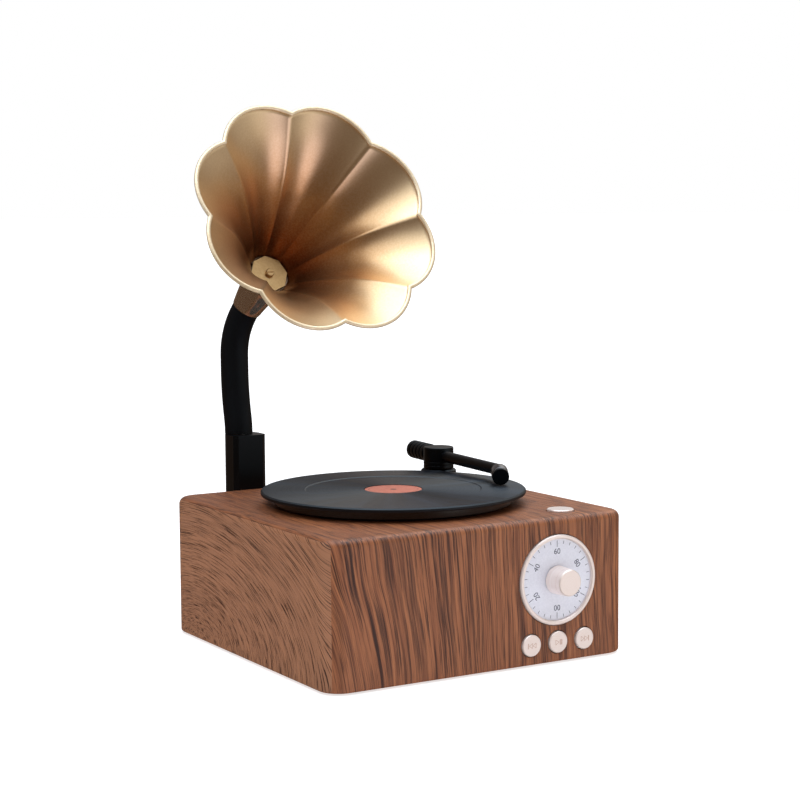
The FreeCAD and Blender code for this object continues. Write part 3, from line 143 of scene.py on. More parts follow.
def smooth_object(name, vertices, faces, body, material, stands_for=()):
    """A smooth-shaded piece from millimetre vertices, riding on a body."""
    mesh = bpy.data.meshes.new(name)
    mesh.from_pydata([tuple(Vector(v) * MM) for v in vertices], [], faces)
    mesh.validate()
    for polygon in mesh.polygons:
        polygon.use_smooth = True
    obj = bpy.data.objects.new(name, mesh)
    bpy.context.scene.collection.objects.link(obj)
    obj.data.materials.append(material)
    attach(obj, body)
    if stands_for:
        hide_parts(*stands_for)
    return obj


def weld(mesh, gap_mm=0.0005):
    """Joins coincident corners, drops faces without area and turns the rest outwards."""
    shape = bmesh.new()
    shape.from_mesh(mesh)
    bmesh.ops.remove_doubles(shape, verts=shape.verts, dist=gap_mm * MM)
    bmesh.ops.dissolve_degenerate(shape, edges=shape.edges, dist=gap_mm * MM)
    bmesh.ops.recalc_face_normals(shape, faces=shape.faces)
    shape.to_mesh(mesh)
    shape.free()


def grid_faces(rows, columns, wrap_rows=False):
    """Quads over rows of points, each row closed on itself."""
    faces = []
    for i in range(rows if wrap_rows else rows - 1):
        for j in range(columns):
            k = (j + 1) % columns
            n = (i + 1) % rows
            faces.append((i * columns + j, i * columns + k, n * columns + k, n * columns + j))
    return faces


def axes_matrix(origin, across, up, out):
    """Millimetre matrix that puts local X, Y and Z along three directions."""
    matrix = Matrix((across, up, out)).transposed().to_4x4()
    matrix.translation = origin
    return matrix


def axis_matrix(origin, out):
    """The same for a round piece, from the direction of its axis."""
    across = Vector(out).orthogonal().normalized()
    out = Vector(out).normalized()
    return axes_matrix(origin, across, out.cross(across), out)


def rounded_profile(corners, radius, steps=4):
    """A turned outline with each inner corner rounded: corners are (radius, height) pairs."""
    points = [Vector(corners[0])]
    for i in range(1, len(corners) - 1):
        before, corner, after = (Vector(corners[k]) for k in (i - 1, i, i + 1))
        reach = min(radius, (before - corner).length * 0.45, (after - corner).length * 0.45)
        start = corner + (before - corner).normalized() * reach
        end = corner + (after - corner).normalized() * reach
        for k in range(steps + 1):
            t = k / steps
            points.append(start * (1 - t) ** 2 + corner * (2 * t * (1 - t)) + end * t ** 2)
    points.append(Vector(corners[-1]))
    return points


def lathe(name, corners, matrix, body, material, stands_for=(), radius=0.4, segments=96):
    """A turned piece with softened corners; its outline starts and ends on the axis."""
    points = rounded_profile(corners, radius)
    rings = points[1:-1]
    vertices = []
    for point in rings:
        for j in range(segments):
            angle = 2 * math.pi * j / segments
            spot = Vector((point.x * math.cos(angle), point.x * math.sin(angle), point.y))
            vertices.append(matrix @ spot)
    faces = grid_faces(len(rings), segments)
    low, high = len(vertices), len(vertices) + 1
    vertices += [matrix @ Vector((0, 0, point.y)) for point in (points[0], points[-1])]
    for j in range(segments):
        k = (j + 1) % segments
        top = (len(rings) - 1) * segments
        faces.append((low, k, j))
        faces.append((high, top + j, top + k))
    return smooth_object(name, vertices, faces, body, material, stands_for)


# ---------------------------------------------------------------- node helpers

class Nodes:
    """Short calls for making a node tree; place is the vector that patterns follow by default."""

    def __init__(self, tree, place):
        self.tree = tree
        self.place = self.add("ShaderNodeTexCoord").outputs[place]

    def add(self, kind, inputs=None, **settings):
        node = self.tree.nodes.new(kind)
        for key, value in settings.items():
            setattr(node, key, value)
        for key, value in (inputs or {}).items():
            self.give(node.inputs[key], value)
        return node

    def give(self, socket, value):
        if isinstance(value, bpy.types.NodeSocket):
            self.tree.links.new(value, socket)
        else:
            socket.default_value = value

    def math(self, operation, first, second=0.0):
        return self.add("ShaderNodeMath", {0: first, 1: second}, operation=operation).outputs[0]

    def times(self, first, second):
        return self.math("MULTIPLY", first, second)

    def length(self, first, second):
        """Distance from the origin of a point in a plane."""
        squares = [self.math("POWER", value, 2.0) for value in (first, second)]
        return self.math("SQRT", self.math("ADD", *squares))

    def dot(self, first, second):
        node = self.add("ShaderNodeVectorMath", {0: first, 1: second}, operation="DOT_PRODUCT")
        return node.outputs["Value"]

    def split(self, vector=None):
        """X, Y and Z of a vector, the object's own place by default."""
        return self.add("ShaderNodeSeparateXYZ", {0: vector or self.place}).outputs

    def join(self, x, y, z):
        return self.add("ShaderNodeCombineXYZ", {0: x, 1: y, 2: z}).outputs[0]

    def noise(self, scale, detail=3.0, roughness=0.5, vector=None):
        inputs = {"Vector": vector or self.place, "Scale": scale, "Detail": detail, "Roughness": roughness}
        return self.add("ShaderNodeTexNoise", inputs).outputs["Fac"]

    def band(self, value, low, high, start=0.0, end=1.0, curve="LINEAR"):
        """A value carried from one range to another, held at the ends."""
        node = self.add("ShaderNodeMapRange", {"Value": value, "From Min": low, "From Max": high,
                                               "To Min": start, "To Max": end}, interpolation_type=curve)
        return node.outputs[0]

    def mix(self, factor, first, second):
        node = self.add("ShaderNodeMix", data_type="RGBA")
        self.give(node.inputs[0], factor)
        self.give(node.inputs[6], first)
        self.give(node.inputs[7], second)
        return node.outputs[2]

    def ramp(self, factor, stops):
        node = self.add("ShaderNodeValToRGB", {0: factor})
        elements = node.color_ramp.elements
        while len(elements) < len(stops):
            elements.new(0.5)
        for element, (position, colour) in zip(elements, stops):
            element.position = position
            element.color = rgb(*colour)
        return node.outputs[0]


class Shader(Nodes):
    """A principled material."""

    def __init__(self, name, metallic=0.0, roughness=0.5, **sockets):
        self.material = bpy.data.materials.new(name)
        self.material.use_nodes = True
        super().__init__(self.material.node_tree, "Object")
        self.bsdf = self.tree.nodes["Principled BSDF"]
        self.bsdf.inputs["Metallic"].default_value = metallic
        self.bsdf.inputs["Roughness"].default_value = roughness
        for key, value in sockets.items():
            self.bsdf.inputs[key.replace("_", " ")].default_value = value

    def bump(self, height, strength, distance_mm):
        inputs = {"Height": height, "Strength": strength, "Distance": distance_mm * MM}
        node = self.add("ShaderNodeBump", inputs)
        self.tree.links.new(node.outputs[0], self.bsdf.inputs["Normal"])

    def colour(self, value):
        self.give(self.bsdf.inputs["Base Color"], value)
        return self.material

    def rough(self, value):
        self.give(self.bsdf.inputs["Roughness"], value)


def rgb(red, green, blue):
    """A colour given as 8-bit screen values, made linear."""
    def linear(value):
        value /= 255.0
        return value / 12.92 if value <= 0.04045 else ((value + 0.055) / 1.055) ** 2.4
    return (linear(red), linear(green), linear(blue), 1.0)


# ---------------------------------------------------------------- materials

def veneer_place(shader):
    """Across-grain and along-grain places on the front, sides and top, and which of them a point is on.

    The grain stands upright on the front and back, leaning a little at the left, arches round a low point
    near the rear on the sides, and runs from front to back on the top.
    """
    x, y, z = shader.split()
    facing = shader.split(shader.add("ShaderNodeNewGeometry").outputs["Normal"])
    side = shader.math("GREATER_THAN", shader.math("ABSOLUTE", facing[0]), SIDE_FACING)
    top = shader.math("GREATER_THAN", shader.math("ABSOLUTE", facing[2]), TOP_FACING)
    wave = shader.times(shader.math("SUBTRACT", shader.noise(14.0, 2.0), 0.5), GRAIN_WAVE * MM)
    lean = shader.times(z, shader.band(x, LEAN_FROM * MM, LEAN_TO * MM, LEAN_LEFT, LEAN_RIGHT))
    front = shader.join(shader.math("ADD", shader.math("ADD", x, lean), wave), z, 0.0)
    along = shader.math("SUBTRACT", y, ARCH_Y * MM)
    rise = shader.times(shader.math("SUBTRACT", z, ARCH_Z * MM), ARCH_STRETCH)
    reach = shader.length(along, rise)
    turn = shader.times(shader.math("ARCTAN2", rise, shader.times(along, -1.0)), ARCH_RADIUS * MM)
    flank = shader.join(shader.math("ADD", reach, shader.times(wave, 0.5)), turn, 0.37)
    lid = shader.join(shader.math("ADD", x, shader.times(wave, 0.8)), y, 0.71)
    return shader.mix(top, shader.mix(side, front, flank), lid), side, top


def walnut():
    """Oiled walnut veneer: dark figure in broad bands, fine growth lines and short open pores."""
    shader = Shader("walnut", roughness=0.46)
    place, side, top = veneer_place(shader)
    u, v, w = shader.split(place)

    def grain(across, along, detail, roughness=0.55):
        """Noise drawn out along the grain, in features per metre."""
        spot = shader.join(shader.times(u, across), shader.times(v, along), shader.times(w, 40.0))
        return shader.noise(1.0, detail, roughness, spot)

    zones = shader.band(grain(44.0, 4.0, 2.0), 0.40, 0.62)
    growth = shader.band(grain(480.0, 12.0, 5.0, 0.75), 0.36, 0.64)
    figure = shader.band(grain(420.0, 7.0, 5.0, 0.7), 0.49, 0.58)
    long_pores = shader.band(grain(1700.0, 24.0, 3.0, 0.6), 0.53, 0.58)
    short_pores = shader.band(grain(1900.0, 80.0, 2.0, 0.5), 0.55, 0.60)

    plain = shader.mix(growth, rgb(*WALNUT_MID), rgb(*WALNUT_LIGHT))
    streaks = shader.times(figure, shader.band(zones, 0.0, 1.0, 0.3, 0.95))
    front = shader.mix(streaks, plain, rgb(*WALNUT_DARK))
    front = shader.mix(shader.times(long_pores, 0.7), front, rgb(*WALNUT_PORE))
    # Painted sheen: the side faces are mixed toward a paler grey for the light on them; their grain, figure
    # and pores are the wood's own.
    flank = shader.mix(0.7, plain, rgb(*WALNUT_SIDE_SHEEN))
    flank = shader.mix(shader.times(zones, 0.12), flank, rgb(*WALNUT_DARK))
    flank = shader.mix(shader.times(short_pores, 0.9), flank, rgb(*WALNUT_PORE))
    lid = shader.mix(shader.times(figure, 0.30), plain, rgb(*WALNUT_DARK))
    lid = shader.mix(shader.times(short_pores, 0.70), lid, rgb(*WALNUT_PORE))
    shader.rough(shader.band(growth, 0.0, 1.0, 0.54, 0.42))
    hollows = shader.math("MAXIMUM", short_pores, long_pores)
    shader.bump(shader.math("SUBTRACT", shader.times(growth, 0.3), hollows), 0.45, 0.1)
    return shader.colour(shader.mix(top, shader.mix(side, front, flank), lid))


def speckled(name, dark, light, metallic, roughness, speck=900.0, bump_mm=0.02, **sockets):
    """A plain finish with fine mottling in colour, gloss and surface."""
    shader = Shader(name, metallic, roughness, **sockets)
    fine = shader.noise(speck, 4.0, 0.7)
    broad = shader.noise(35.0, 2.0)
    tone = shader.math("ADD", shader.times(fine, 0.6), shader.times(broad, 0.4))
    colour = shader.mix(shader.band(tone, 0.35, 0.65), rgb(*dark), rgb(*light))
    shader.rough(shader.band(broad, 0.3, 0.7, roughness * 0.88, roughness * 1.12))
    shader.bump(fine, 0.35, bump_mm)
    return shader.colour(colour)


def horn_bronze():
    """Satin bronze lacquer, golden towards the mouth, with a metallic fleck; the darker brown down in the
    throat is painted shade.
    """
    shader = Shader("horn_bronze", metallic=0.9, roughness=0.33)
    throat, *_, out = horn_axes()
    reach = shader.math("SUBTRACT", shader.dot(shader.place, out), throat.dot(out) * MM)
    depth = shader.band(reach, 0.0, HORN_LENGTH * MM)
    # Painted shade: the colour darkens to brown down in the deep throat for the shade there; towards the
    # mouth it is the lacquer's own gold.
    tone = shader.ramp(depth, [(0.0, (124, 72, 38)), (0.2, (156, 100, 58)), (0.55, (200, 154, 106)),
                               (1.0, (228, 202, 162))])
    fleck = shader.noise(1100.0, 3.0, 0.7)
    share = shader.times(shader.band(fleck, 0.42, 0.62), shader.band(depth, 0.0, 1.0, 0.06, 0.22))
    flecked = shader.mix(share, tone, rgb(250, 228, 190))
    shader.rough(shader.band(shader.noise(60.0, 3.0), 0.3, 0.7, 0.28, 0.32))
    shader.bump(fleck, 0.12, 0.02)
    return shader.colour(flecked)


def record_vinyl():
    """Glossy black vinyl whose ring grooves spread the light into spokes; paler spokes are also painted into
    its colour as a painted sheen.
    """
    shader = Shader("record_vinyl", roughness=0.3, Anisotropic=0.85, Specular_Tint=(0.76, 0.90, 1.0, 1.0))
    x, y = shader.split()[:2]
    radius = shader.length(x, y)
    tracks = shader.noise(1.0, 3.0, 0.7, shader.join(shader.times(radius, 700.0), 0.0, 0.0))
    grooves = shader.math("SINE", shader.times(radius, 2 * math.pi / (GROOVE_STEP * MM)))
    angle = shader.math("ARCTAN2", y, x)
    ring = (shader.math("SINE", angle), shader.math("COSINE", angle))
    fan = shader.join(shader.times(ring[0], 5.0), shader.times(ring[1], 5.0), shader.times(radius, 9.0))
    spokes = shader.noise(1.0, 5.0, 0.75, fan)
    played = shader.math("LESS_THAN", radius, GROOVED_RADIUS * MM)
    tone = shader.mix(shader.band(tracks, 0.3, 0.7), rgb(9, 11, 15), rgb(18, 21, 27))
    # Painted sheen: pale blue-grey spokes mixed into the vinyl's colour stand in for the light streaks on the
    # grooves.
    painted_sheen = shader.times(shader.band(spokes, 0.42, 0.68), played)
    colour = shader.mix(shader.times(painted_sheen, 0.55), tone, rgb(60, 68, 80))
    tangent = shader.add("ShaderNodeTangent", direction_type="RADIAL", axis="Z").outputs[0]
    shader.tree.links.new(tangent, shader.bsdf.inputs["Tangent"])
    shader.rough(shader.math("ADD", shader.band(spokes, 0.3, 0.7, 0.30, 0.42),
                             shader.band(tracks, 0.3, 0.7, 0.0, 0.08)))
    shader.bump(shader.times(grooves, played), 0.3, 0.03)
    return shader.colour(colour)


def turned_metal(name, dark, light, roughness, axis, centre, metallic):
    """Metal with faint ring marks about an axis through a point."""
    shader = Shader(name, metallic=metallic, roughness=roughness)
    parts = shader.split(shader.add("ShaderNodeVectorMath", {0: shader.place, 1: Vector(centre) * MM},
                                    operation="SUBTRACT").outputs[0])
    first, second = [parts[i] for i in range(3) if i != axis]
    radius = shader.length(first, second)
    stretched = shader.join(shader.times(radius, 3500.0), shader.times(parts[axis], 900.0), 0.0)
    rings = shader.noise(1.0, 4.0, 0.7, stretched)
    colour = shader.mix(shader.band(rings, 0.3, 0.7), rgb(*dark), rgb(*light))
    shader.rough(shader.band(rings, 0.3, 0.7, roughness * 0.85, roughness * 1.2))
    shader.bump(rings, 0.12, 0.02)
    return shader.colour(colour)


def printed_paper():
    """A coloured record label with a thin printed ring, and a dark disc painted where the centre hole is, as
    painted shade.
    """
    shader = Shader("label_paper", roughness=0.5)
    x, y = shader.split()[:2]
    radius = shader.length(x, y)
    off_ring = shader.math("ABSOLUTE", shader.math("SUBTRACT", radius, LABEL_RING * MM))
    ring = shader.math("LESS_THAN", off_ring, LABEL_RING_HALF * MM)
    # Painted shade: a dark disc painted over the middle stands for the centre hole.
    hole_shade = shader.math("LESS_THAN", radius, LABEL_HOLE * MM)
    fibre = shader.noise(700.0, 4.0, 0.7)
    paper = shader.mix(shader.band(fibre, 0.35, 0.65), rgb(202, 112, 92), rgb(222, 132, 108))
    inked = shader.mix(shader.times(ring, 0.6), paper, rgb(120, 60, 50))
    shader.bump(fibre, 0.2, 0.02)
    return shader.colour(shader.mix(hole_shade, inked, rgb(60, 45, 42)))


def circuit():
    """Green board with lighter copper tracks."""
    shader = Shader("circuit_board", roughness=0.35)
    cells = {"Vector": shader.place, "Scale": 420.0}
    tracks = shader.add("ShaderNodeTexVoronoi", cells, feature="DISTANCE_TO_EDGE").outputs[0]
    line = shader.math("LESS_THAN", tracks, 0.06)
    shade = shader.mix(shader.noise(90.0), rgb(18, 74, 44), rgb(26, 92, 56))
    return shader.colour(shader.mix(line, shade, rgb(52, 128, 78)))


def dial_face():
    """Pale lavender-grey enamel with a faint turned sheen."""
    shader = Shader("dial_print", roughness=0.32, metallic=0.15)
    fine = shader.noise(1200.0, 4.0, 0.7)
    colour = shader.mix(shader.band(fine, 0.3, 0.7), rgb(222, 223, 234), rgb(234, 235, 245))
    shader.bump(fine, 0.1, 0.01)
    return shader.colour(colour)


COOL_SHEEN = (0.72, 0.88, 1.0, 1.0)
BLACK_SATIN = speckled("black_satin", (3, 3, 5), (7, 8, 11), 0.0, 0.36, Specular_IOR_Level=0.28,
                       Specular_Tint=COOL_SHEEN)
SLOT_MATERIALS = {
    "walnut": walnut(),
    "pine": speckled("pine", (190, 150, 100), (214, 176, 124), 0.0, 0.6, 300.0, 0.1),
    "black_rubber": speckled("black_rubber", (3, 3, 5), (7, 8, 12), 0.0, 0.55, 1400.0, 0.04,
                             Specular_IOR_Level=0.28, Specular_Tint=COOL_SHEEN),
    "black_plastic": BLACK_SATIN,
    "record_vinyl": record_vinyl(),
    "platter_plastic": speckled("platter_plastic", (20, 16, 15), (32, 26, 24), 0.0, 0.24),
    "label_paper": printed_paper(),
    "dial_print": dial_face(),
    "rose_metal": turned_metal("rose_metal", (247, 230, 222), (255, 244, 238), 0.32, 1, DIAL, 0.5),
    "bronze_metal": horn_bronze(),
    "pale_gold_metal": speckled("pale_gold_metal", (206, 168, 112), (228, 194, 138), 0.7, 0.32, 700.0),
    "tan_metal": speckled("tan_metal", (190, 170, 146), (220, 200, 176), 0.95, 0.2),
    "silver_metal": speckled("silver_metal", (96, 97, 102), (128, 129, 134), 1.0, 0.24),
    "steel": speckled("steel", (150, 150, 152), (186, 186, 188), 1.0, 0.34),
    "turned_brass": speckled("turned_brass", (176, 140, 78), (208, 172, 104), 1.0, 0.3),
    "black_metal": speckled("black_metal", (20, 20, 21), (34, 34, 35), 0.3, 0.4, 1000.0, 0.04),
    "circuit_board": circuit(),
    "switch_plastic": speckled("switch_plastic", (30, 30, 32), (46, 46, 48), 0.0, 0.5),
    "battery_wrap": speckled("battery_wrap", (48, 90, 140), (62, 108, 160), 0.0, 0.35),
    "grey_plastic": speckled("grey_plastic", (96, 96, 98), (120, 120, 122), 0.0, 0.5),
    "cone_paper": speckled("cone_paper", (38, 37, 36), (56, 54, 52), 0.0, 0.8, 500.0, 0.12),
    "ferrite": speckled("ferrite", (44, 44, 46), (64, 64, 66), 0.0, 0.55, 400.0, 0.08),
}
RIM_GOLD = speckled("rim_gold", (232, 208, 168), (250, 234, 204), 0.6, 0.34, 700.0)
INK = speckled("dial_ink", (78, 80, 96), (92, 94, 110), 0.0, 0.5)
ICON = speckled("icon_metal", (214, 184, 170), (226, 198, 184), 0.4, 0.36)


def finish_cad_nodes():
    """Give each carried-over CAD node the detailed finish of its record slot."""
    for part in frame["record"]["subparts"]:
        obj = frame["nodes"][part["node"]]
        for slot in obj.material_slots:
            slot.material = SLOT_MATERIALS[part["material_slot"]]


# ---------------------------------------------------------------- horn

def lobe_radius(angle, crease, middle, grow=0.0):
    """Radius of the lobed outline at an angle, with each lobe's arc moved out by grow."""
    half = math.pi / LOBES
    chord, rise = crease * math.sin(half), middle - crease * math.cos(half)
    if abs(rise) < 1e-6:
        return crease * math.cos(half) / math.cos((angle % (2 * half)) - half) + grow
    arc = (chord ** 2 + rise ** 2) / (2 * rise)
    centre = middle - arc
    t = (angle % (2 * half)) - half
    across = math.sqrt((arc + grow) ** 2 - (centre * math.sin(t)) ** 2)
    return centre * math.cos(t) + math.copysign(1, arc) * across


def spline(xs, ys, x):
    """A smooth curve through points; its slope at each is the mean of the slopes beside it."""
    slopes = [(ys[i + 1] - ys[i]) / (xs[i + 1] - xs[i]) for i in range(len(xs) - 1)]
    tangents = [slopes[0]] + [(a + b) / 2 for a, b in zip(slopes, slopes[1:])] + [slopes[-1]]
    i = max(k for k in range(len(xs) - 1) if xs[k] <= x or k == 0)
    step = xs[i + 1] - xs[i]
    t = (x - xs[i]) / step
    return (ys[i] * (2 * t ** 3 - 3 * t ** 2 + 1) + ys[i + 1] * (3 * t ** 2 - 2 * t ** 3)
            + step * (tangents[i] * (t ** 3 - 2 * t ** 2 + t) + tangents[i + 1] * (t ** 3 - t ** 2)))


def horn_ring(fraction, grow, height, per_lobe=28):
    """Points of the horn's surface at one depth, in the horn's frame."""
    xs = [p[0] for p in HORN_PROFILE]
    crease = spline(xs, [p[1] for p in HORN_PROFILE], fraction)
    middle = spline(xs, [p[2] for p in HORN_PROFILE], fraction)
    points = []
    for j in range(LOBES * per_lobe):
        angle = 2 * math.pi * j / (LOBES * per_lobe)
        radius = lobe_radius(angle, crease, middle) + grow
        points.append(Vector((radius * math.cos(angle), radius * math.sin(angle), height)))
    return points


def build_horn():
    """The flared wall, out along its back and in again along its front."""
    throat, across, up, out = horn_axes()
    matrix = axes_matrix(throat, across, up, out)
    steps = [i / HORN_STEPS for i in range(HORN_STEPS + 1)]
    rows = [horn_ring(0.0, HORN_WALL, -THROAT_REACH)]
    rows += [horn_ring(f, HORN_WALL, f * HORN_LENGTH) for f in steps]
    rows += [horn_ring(f, 0.0, f * HORN_LENGTH) for f in reversed(steps)]
    rows += [horn_ring(0.0, 0.0, -THROAT_REACH)]
    vertices = [matrix @ v for row in rows for v in row]
    faces = grid_faces(len(rows), len(rows[0]), wrap_rows=True)
    smooth_object("horn_flare", vertices, faces, "horn_head",
                  SLOT_MATERIALS["bronze_metal"], ["horn_bell"])
    build_rim(matrix)


def build_rim(matrix):
    """The rolled bead round the mouth, mitred at the creases."""
    crease, middle = HORN_PROFILE[-1][1] + HORN_WALL / 2, HORN_PROFILE[-1][2] + HORN_WALL / 2
    count, turns = LOBES * 40, 20
    vertices = []
    for k in range(turns):
        bend = 2 * math.pi * k / turns
        for j in range(count):
            angle = 2 * math.pi * j / count
            radius = lobe_radius(angle, crease, middle, RIM_HALF_WIDTH * math.cos(bend))
            height = HORN_LENGTH + RIM_RISE + RIM_HALF_HEIGHT * math.sin(bend)
            spot = Vector((radius * math.cos(angle), radius * math.sin(angle), height))
            vertices.append(matrix @ spot)
    smooth_object("rolled_rim", vertices, grid_faces(turns, count, wrap_rows=True), "horn_head",
                  RIM_GOLD, ["horn_rim"])


# ---------------------------------------------------------------- turned details

def build_tonearm():
    """The grooved drum on the pivot, the ribbed weight behind it and the head with its cap."""
    foot = Vector((ARM_PIVOT.x, ARM_PIVOT.y, 0))
    upright = axes_matrix(foot, Vector((1, 0, 0)), Vector((0, 1, 0)), Vector((0, 0, 1)))
    lathe("arm_drum", DRUM_OUTLINE, upright, "tonearm", BLACK_SATIN, ["tonearm_drum"], 0.7)

    ahead = (ARM_ELBOW - ARM_PIVOT).normalized()
    behind = axis_matrix(ARM_PIVOT - ahead * WEIGHT_START, -ahead)
    lathe("ribbed_weight", weight_outline(), behind, "tonearm", BLACK_SATIN,
          ["counterweight"], 0.35)

    head = axis_matrix(HEAD_BACK, HEAD_TIP - HEAD_BACK)
    length = (HEAD_TIP - HEAD_BACK).length
    joint = length - CAP_LENGTH
    silver = SLOT_MATERIALS["silver_metal"]
    sleeve = [(0, 0), (HEAD_BACK_RADIUS, 0), (HEAD_RADIUS, HEAD_TAPER), (HEAD_RADIUS, joint), (0, joint)]
    lathe("head_sleeve", sleeve, head, "tonearm", silver, ["headshell"])
    cap = [(0, joint), (CAP_RADIUS, joint), (CAP_RADIUS, length), (0, length)]
    lathe("head_cap", cap, head, "tonearm", BLACK_SATIN, ["headshell_cap"], 0.3)


def weight_outline():
    """A bar with square grooves turned in it."""
    outline = [(0, 0), (WEIGHT_RADIUS, 0)]
    for i in range(1, GROOVES + 1):
        middle = GROOVE_PITCH * i
        outline += [(WEIGHT_RADIUS, middle - GROOVE_TOP_HALF), (GROOVE_RADIUS, middle - GROOVE_FLOOR_HALF),
                    (GROOVE_RADIUS, middle + GROOVE_FLOOR_HALF), (WEIGHT_RADIUS, middle + GROOVE_TOP_HALF)]
    return outline + [(WEIGHT_RADIUS, WEIGHT_LENGTH), (0, WEIGHT_LENGTH)]


# ---------------------------------------------------------------- dial and buttons

def flat_piece(name, outlines, plane_y, thick, body, material):
    """Thin printed shapes on the front: outlines of (x, z) corners, raised towards the front."""
    vertices, faces = [], []
    for outline in outlines:
        first, count = len(vertices), len(outline)
        vertices += [(x, plane_y, z) for x, z in outline]
        vertices += [(x, plane_y - thick, z) for x, z in outline]
        faces.append(tuple(first + count + i for i in range(count)))
        faces.append(tuple(first + i for i in reversed(range(count))))
        for i in range(count):
            k = (i + 1) % count
            faces.append((first + i, first + k, first + count + k, first + count + i))
    obj = smooth_object(name, vertices, faces, body, material)
    weld(obj.data)
    for polygon in obj.data.polygons:
        polygon.use_smooth = False


def spoke(angle, inner, outer, width):
    """A tick mark's corners at a clockwise angle from the top of the dial."""
    out = Vector((math.sin(angle), math.cos(angle)))
    side = Vector((out.y, -out.x)) * width / 2
    centre = Vector((DIAL.x, DIAL.z))
    return [tuple(centre + out * r + side * s) for r, s in ((inner, -1), (outer, -1), (outer, 1), (inner, 1))]


def build_dial():
    """Printed marks round the dial, the fifth ones longer, and a number at each long mark."""
    ticks = []
    for i in range(TICKS):
        inner, width = SHORT_TICK_INNER, SHORT_TICK_WIDTH
        if i % TICKS_PER_NUMBER == 0:
            inner, width = LONG_TICK_INNER, LONG_TICK_WIDTH
        ticks.append(spoke(2 * math.pi * i / TICKS, inner, TICK_OUTER, width))
    flat_piece("dial_ticks", ticks, DIAL_FACE_Y + PRINT_SUNK, PRINT_THICK, "cabinet", INK)
    for text, turn in NUMERALS:
        build_numeral(text, turn)


def build_numeral(text, turn):
    """One printed number, upright seen from the dial's middle."""
    curve = bpy.data.curves.new("numeral", "FONT")
    curve.body = text
    curve.size = NUMERAL_SIZE * MM
    curve.align_x, curve.align_y = "CENTER", "CENTER"
    curve.extrude = PRINT_THICK / 2 * MM
    holder = bpy.data.objects.new("numeral", curve)
    bpy.context.scene.collection.objects.link(holder)
    bpy.context.view_layer.update()
    mesh = bpy.data.meshes.new_from_object(holder.evaluated_get(bpy.context.evaluated_depsgraph_get()))
    bpy.data.objects.remove(holder)
    angle = math.radians(turn)
    middle = Vector((DIAL.x + NUMERAL_CIRCLE * math.sin(angle), DIAL_FACE_Y - NUMERAL_AHEAD,
                     DIAL.z + NUMERAL_CIRCLE * math.cos(angle))) * MM
    stand = Matrix.Rotation(angle, 4, "Y") @ Matrix.Rotation(math.pi / 2, 4, "X")
    mesh.transform(Matrix.Translation(middle) @ stand)
    weld(mesh)
    mesh.materials.clear()
    mesh.materials.append(INK)
    obj = bpy.data.objects.new("dial_number_%03d" % turn, mesh)
    bpy.context.scene.collection.objects.link(obj)
    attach(obj, "cabinet")


def build_icons():
    """Raised outlines on the three front buttons: back, play and pause, forward."""
    def triangle(x, way):
        return [(x - way * 0.75, ICON_HALF), (x - way * 0.75, -ICON_HALF), (x + way * 1.0, 0.0)]

    def bar(x):
        left, right = x - ICON_BAR_HALF, x + ICON_BAR_HALF
        return [(left, ICON_HALF), (left, -ICON_HALF), (right, -ICON_HALF), (right, ICON_HALF)]

    faces = ((BUTTONS_X[0], "skip_back_key", [bar(-2.1), triangle(-0.6, -1), triangle(1.4, -1)]),
             (BUTTONS_X[1], "play_key", [triangle(-0.9, 1), bar(0.9), bar(1.7)]),
             (BUTTONS_X[2], "skip_forward_key", [triangle(-1.4, 1), triangle(0.6, 1), bar(2.1)]))
    for x, body, shapes in faces:
        outlines = []
        for shape in shapes:
            outlines += outlined([(x + a, BUTTON_Z + b) for a, b in shape], ICON_LINE)
        flat_piece(body + "_icon", outlines, BUTTON_FACE + PRINT_SUNK, ICON_THICK, body, ICON)


def outlined(points, width):
    """The edges of a closed shape as thin bars."""
    bars = []
    for a, b in zip(points, points[1:] + points[:1]):
        a, b = Vector(a), Vector(b)
        side = Vector((b.y - a.y, a.x - b.x)).normalized() * width / 2
        bars.append([tuple(a + side), tuple(b + side), tuple(b - side), tuple(a - side)])
    return bars


# ---------------------------------------------------------------- studio

def build_floor():
    """A pale floor that glows a little, so that it meets the white behind it."""
    low = CAD_BOX[0].z
    mesh = bpy.data.meshes.new("floor")
    mesh.from_pydata([(-FLOOR_REACH, -FLOOR_REACH, low), (FLOOR_REACH, -FLOOR_REACH, low),
                      (FLOOR_REACH, FLOOR_REACH, low), (-FLOOR_REACH, FLOOR_REACH, low)], [], [(0, 1, 2, 3)])
    floor = bpy.data.objects.new("floor", mesh)
    bpy.context.scene.collection.objects.link(floor)
    floor.visible_glossy = False
    shader = Shader("floor_paper", roughness=0.9, Emission_Color=(1.0, 1.0, 1.0, 1.0),
                    Emission_Strength=FLOOR_GLOW)
    paper = shader.mix(shader.noise(3.0), rgb(200, 200, 201), rgb(204, 204, 205))
    mesh.materials.append(shader.colour(paper))


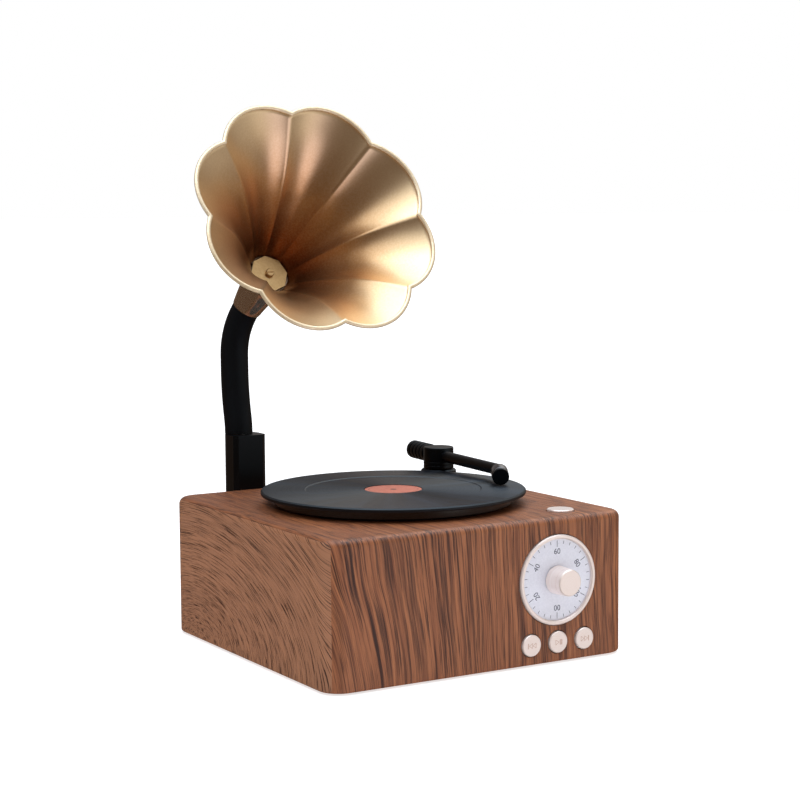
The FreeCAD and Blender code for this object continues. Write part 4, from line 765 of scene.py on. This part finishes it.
def aim(azimuth, elevation):
    """A direction: azimuth 0 is towards the front and 90 to the right, in degrees."""
    a, e = math.radians(azimuth), math.radians(elevation)
    return Vector((math.sin(a) * math.cos(e), -math.cos(a) * math.cos(e), math.sin(e)))


def build_light():
    """Soft light all round: pale panels in a dim surround, with plain white where the camera looks past."""
    world = bpy.data.worlds.new("studio")
    bpy.context.scene.world = world
    world.use_nodes = True
    nodes = Nodes(world.node_tree, "Generated")
    total = nodes.join(*DIM_LIGHT)
    for azimuth, elevation, inner, outer, strength, tint in LIGHT_PANELS:
        facing = nodes.dot(nodes.place, aim(azimuth, elevation))
        share = nodes.band(facing, math.cos(math.radians(outer)), math.cos(math.radians(inner)),
                           0.0, strength, "SMOOTHSTEP")
        total = nodes.add("ShaderNodeVectorMath", {0: share, 1: tint, 2: total},
                          operation="MULTIPLY_ADD").outputs[0]
    seen = nodes.add("ShaderNodeLightPath").outputs["Is Camera Ray"]
    background = world.node_tree.nodes["Background"]
    nodes.give(background.inputs["Color"], nodes.mix(seen, total, (1.0, 1.0, 1.0, 1.0)))


def build_camera():
    """A camera level with the horn, to the left of the front."""
    azimuth, pitch, roll = map(math.radians, CAMERA_ANGLES)
    forward = Vector((-math.sin(azimuth) * math.cos(pitch), math.cos(azimuth) * math.cos(pitch),
                      -math.sin(pitch)))
    right = forward.cross(Vector((0, 0, 1))).normalized()
    up = right.cross(forward)
    across = right * math.cos(roll) + up * math.sin(roll)
    upward = up * math.cos(roll) - right * math.sin(roll)
    data = bpy.data.cameras.new("camera")
    data.sensor_width = CAMERA_SENSOR
    data.lens = CAMERA_LENS
    data.clip_start, data.clip_end = 0.01, 100.0
    camera = bpy.data.objects.new("camera", data)
    bpy.context.scene.collection.objects.link(camera)
    camera.matrix_world = axes_matrix(CAMERA_PLACE, across, upward, -forward)
    bpy.context.scene.camera = camera


bpy.context.scene.view_settings.view_transform = "Standard"
finish_cad_nodes()
build_horn()
build_tonearm()
build_dial()
build_icons()
build_floor()
build_light()
build_camera()
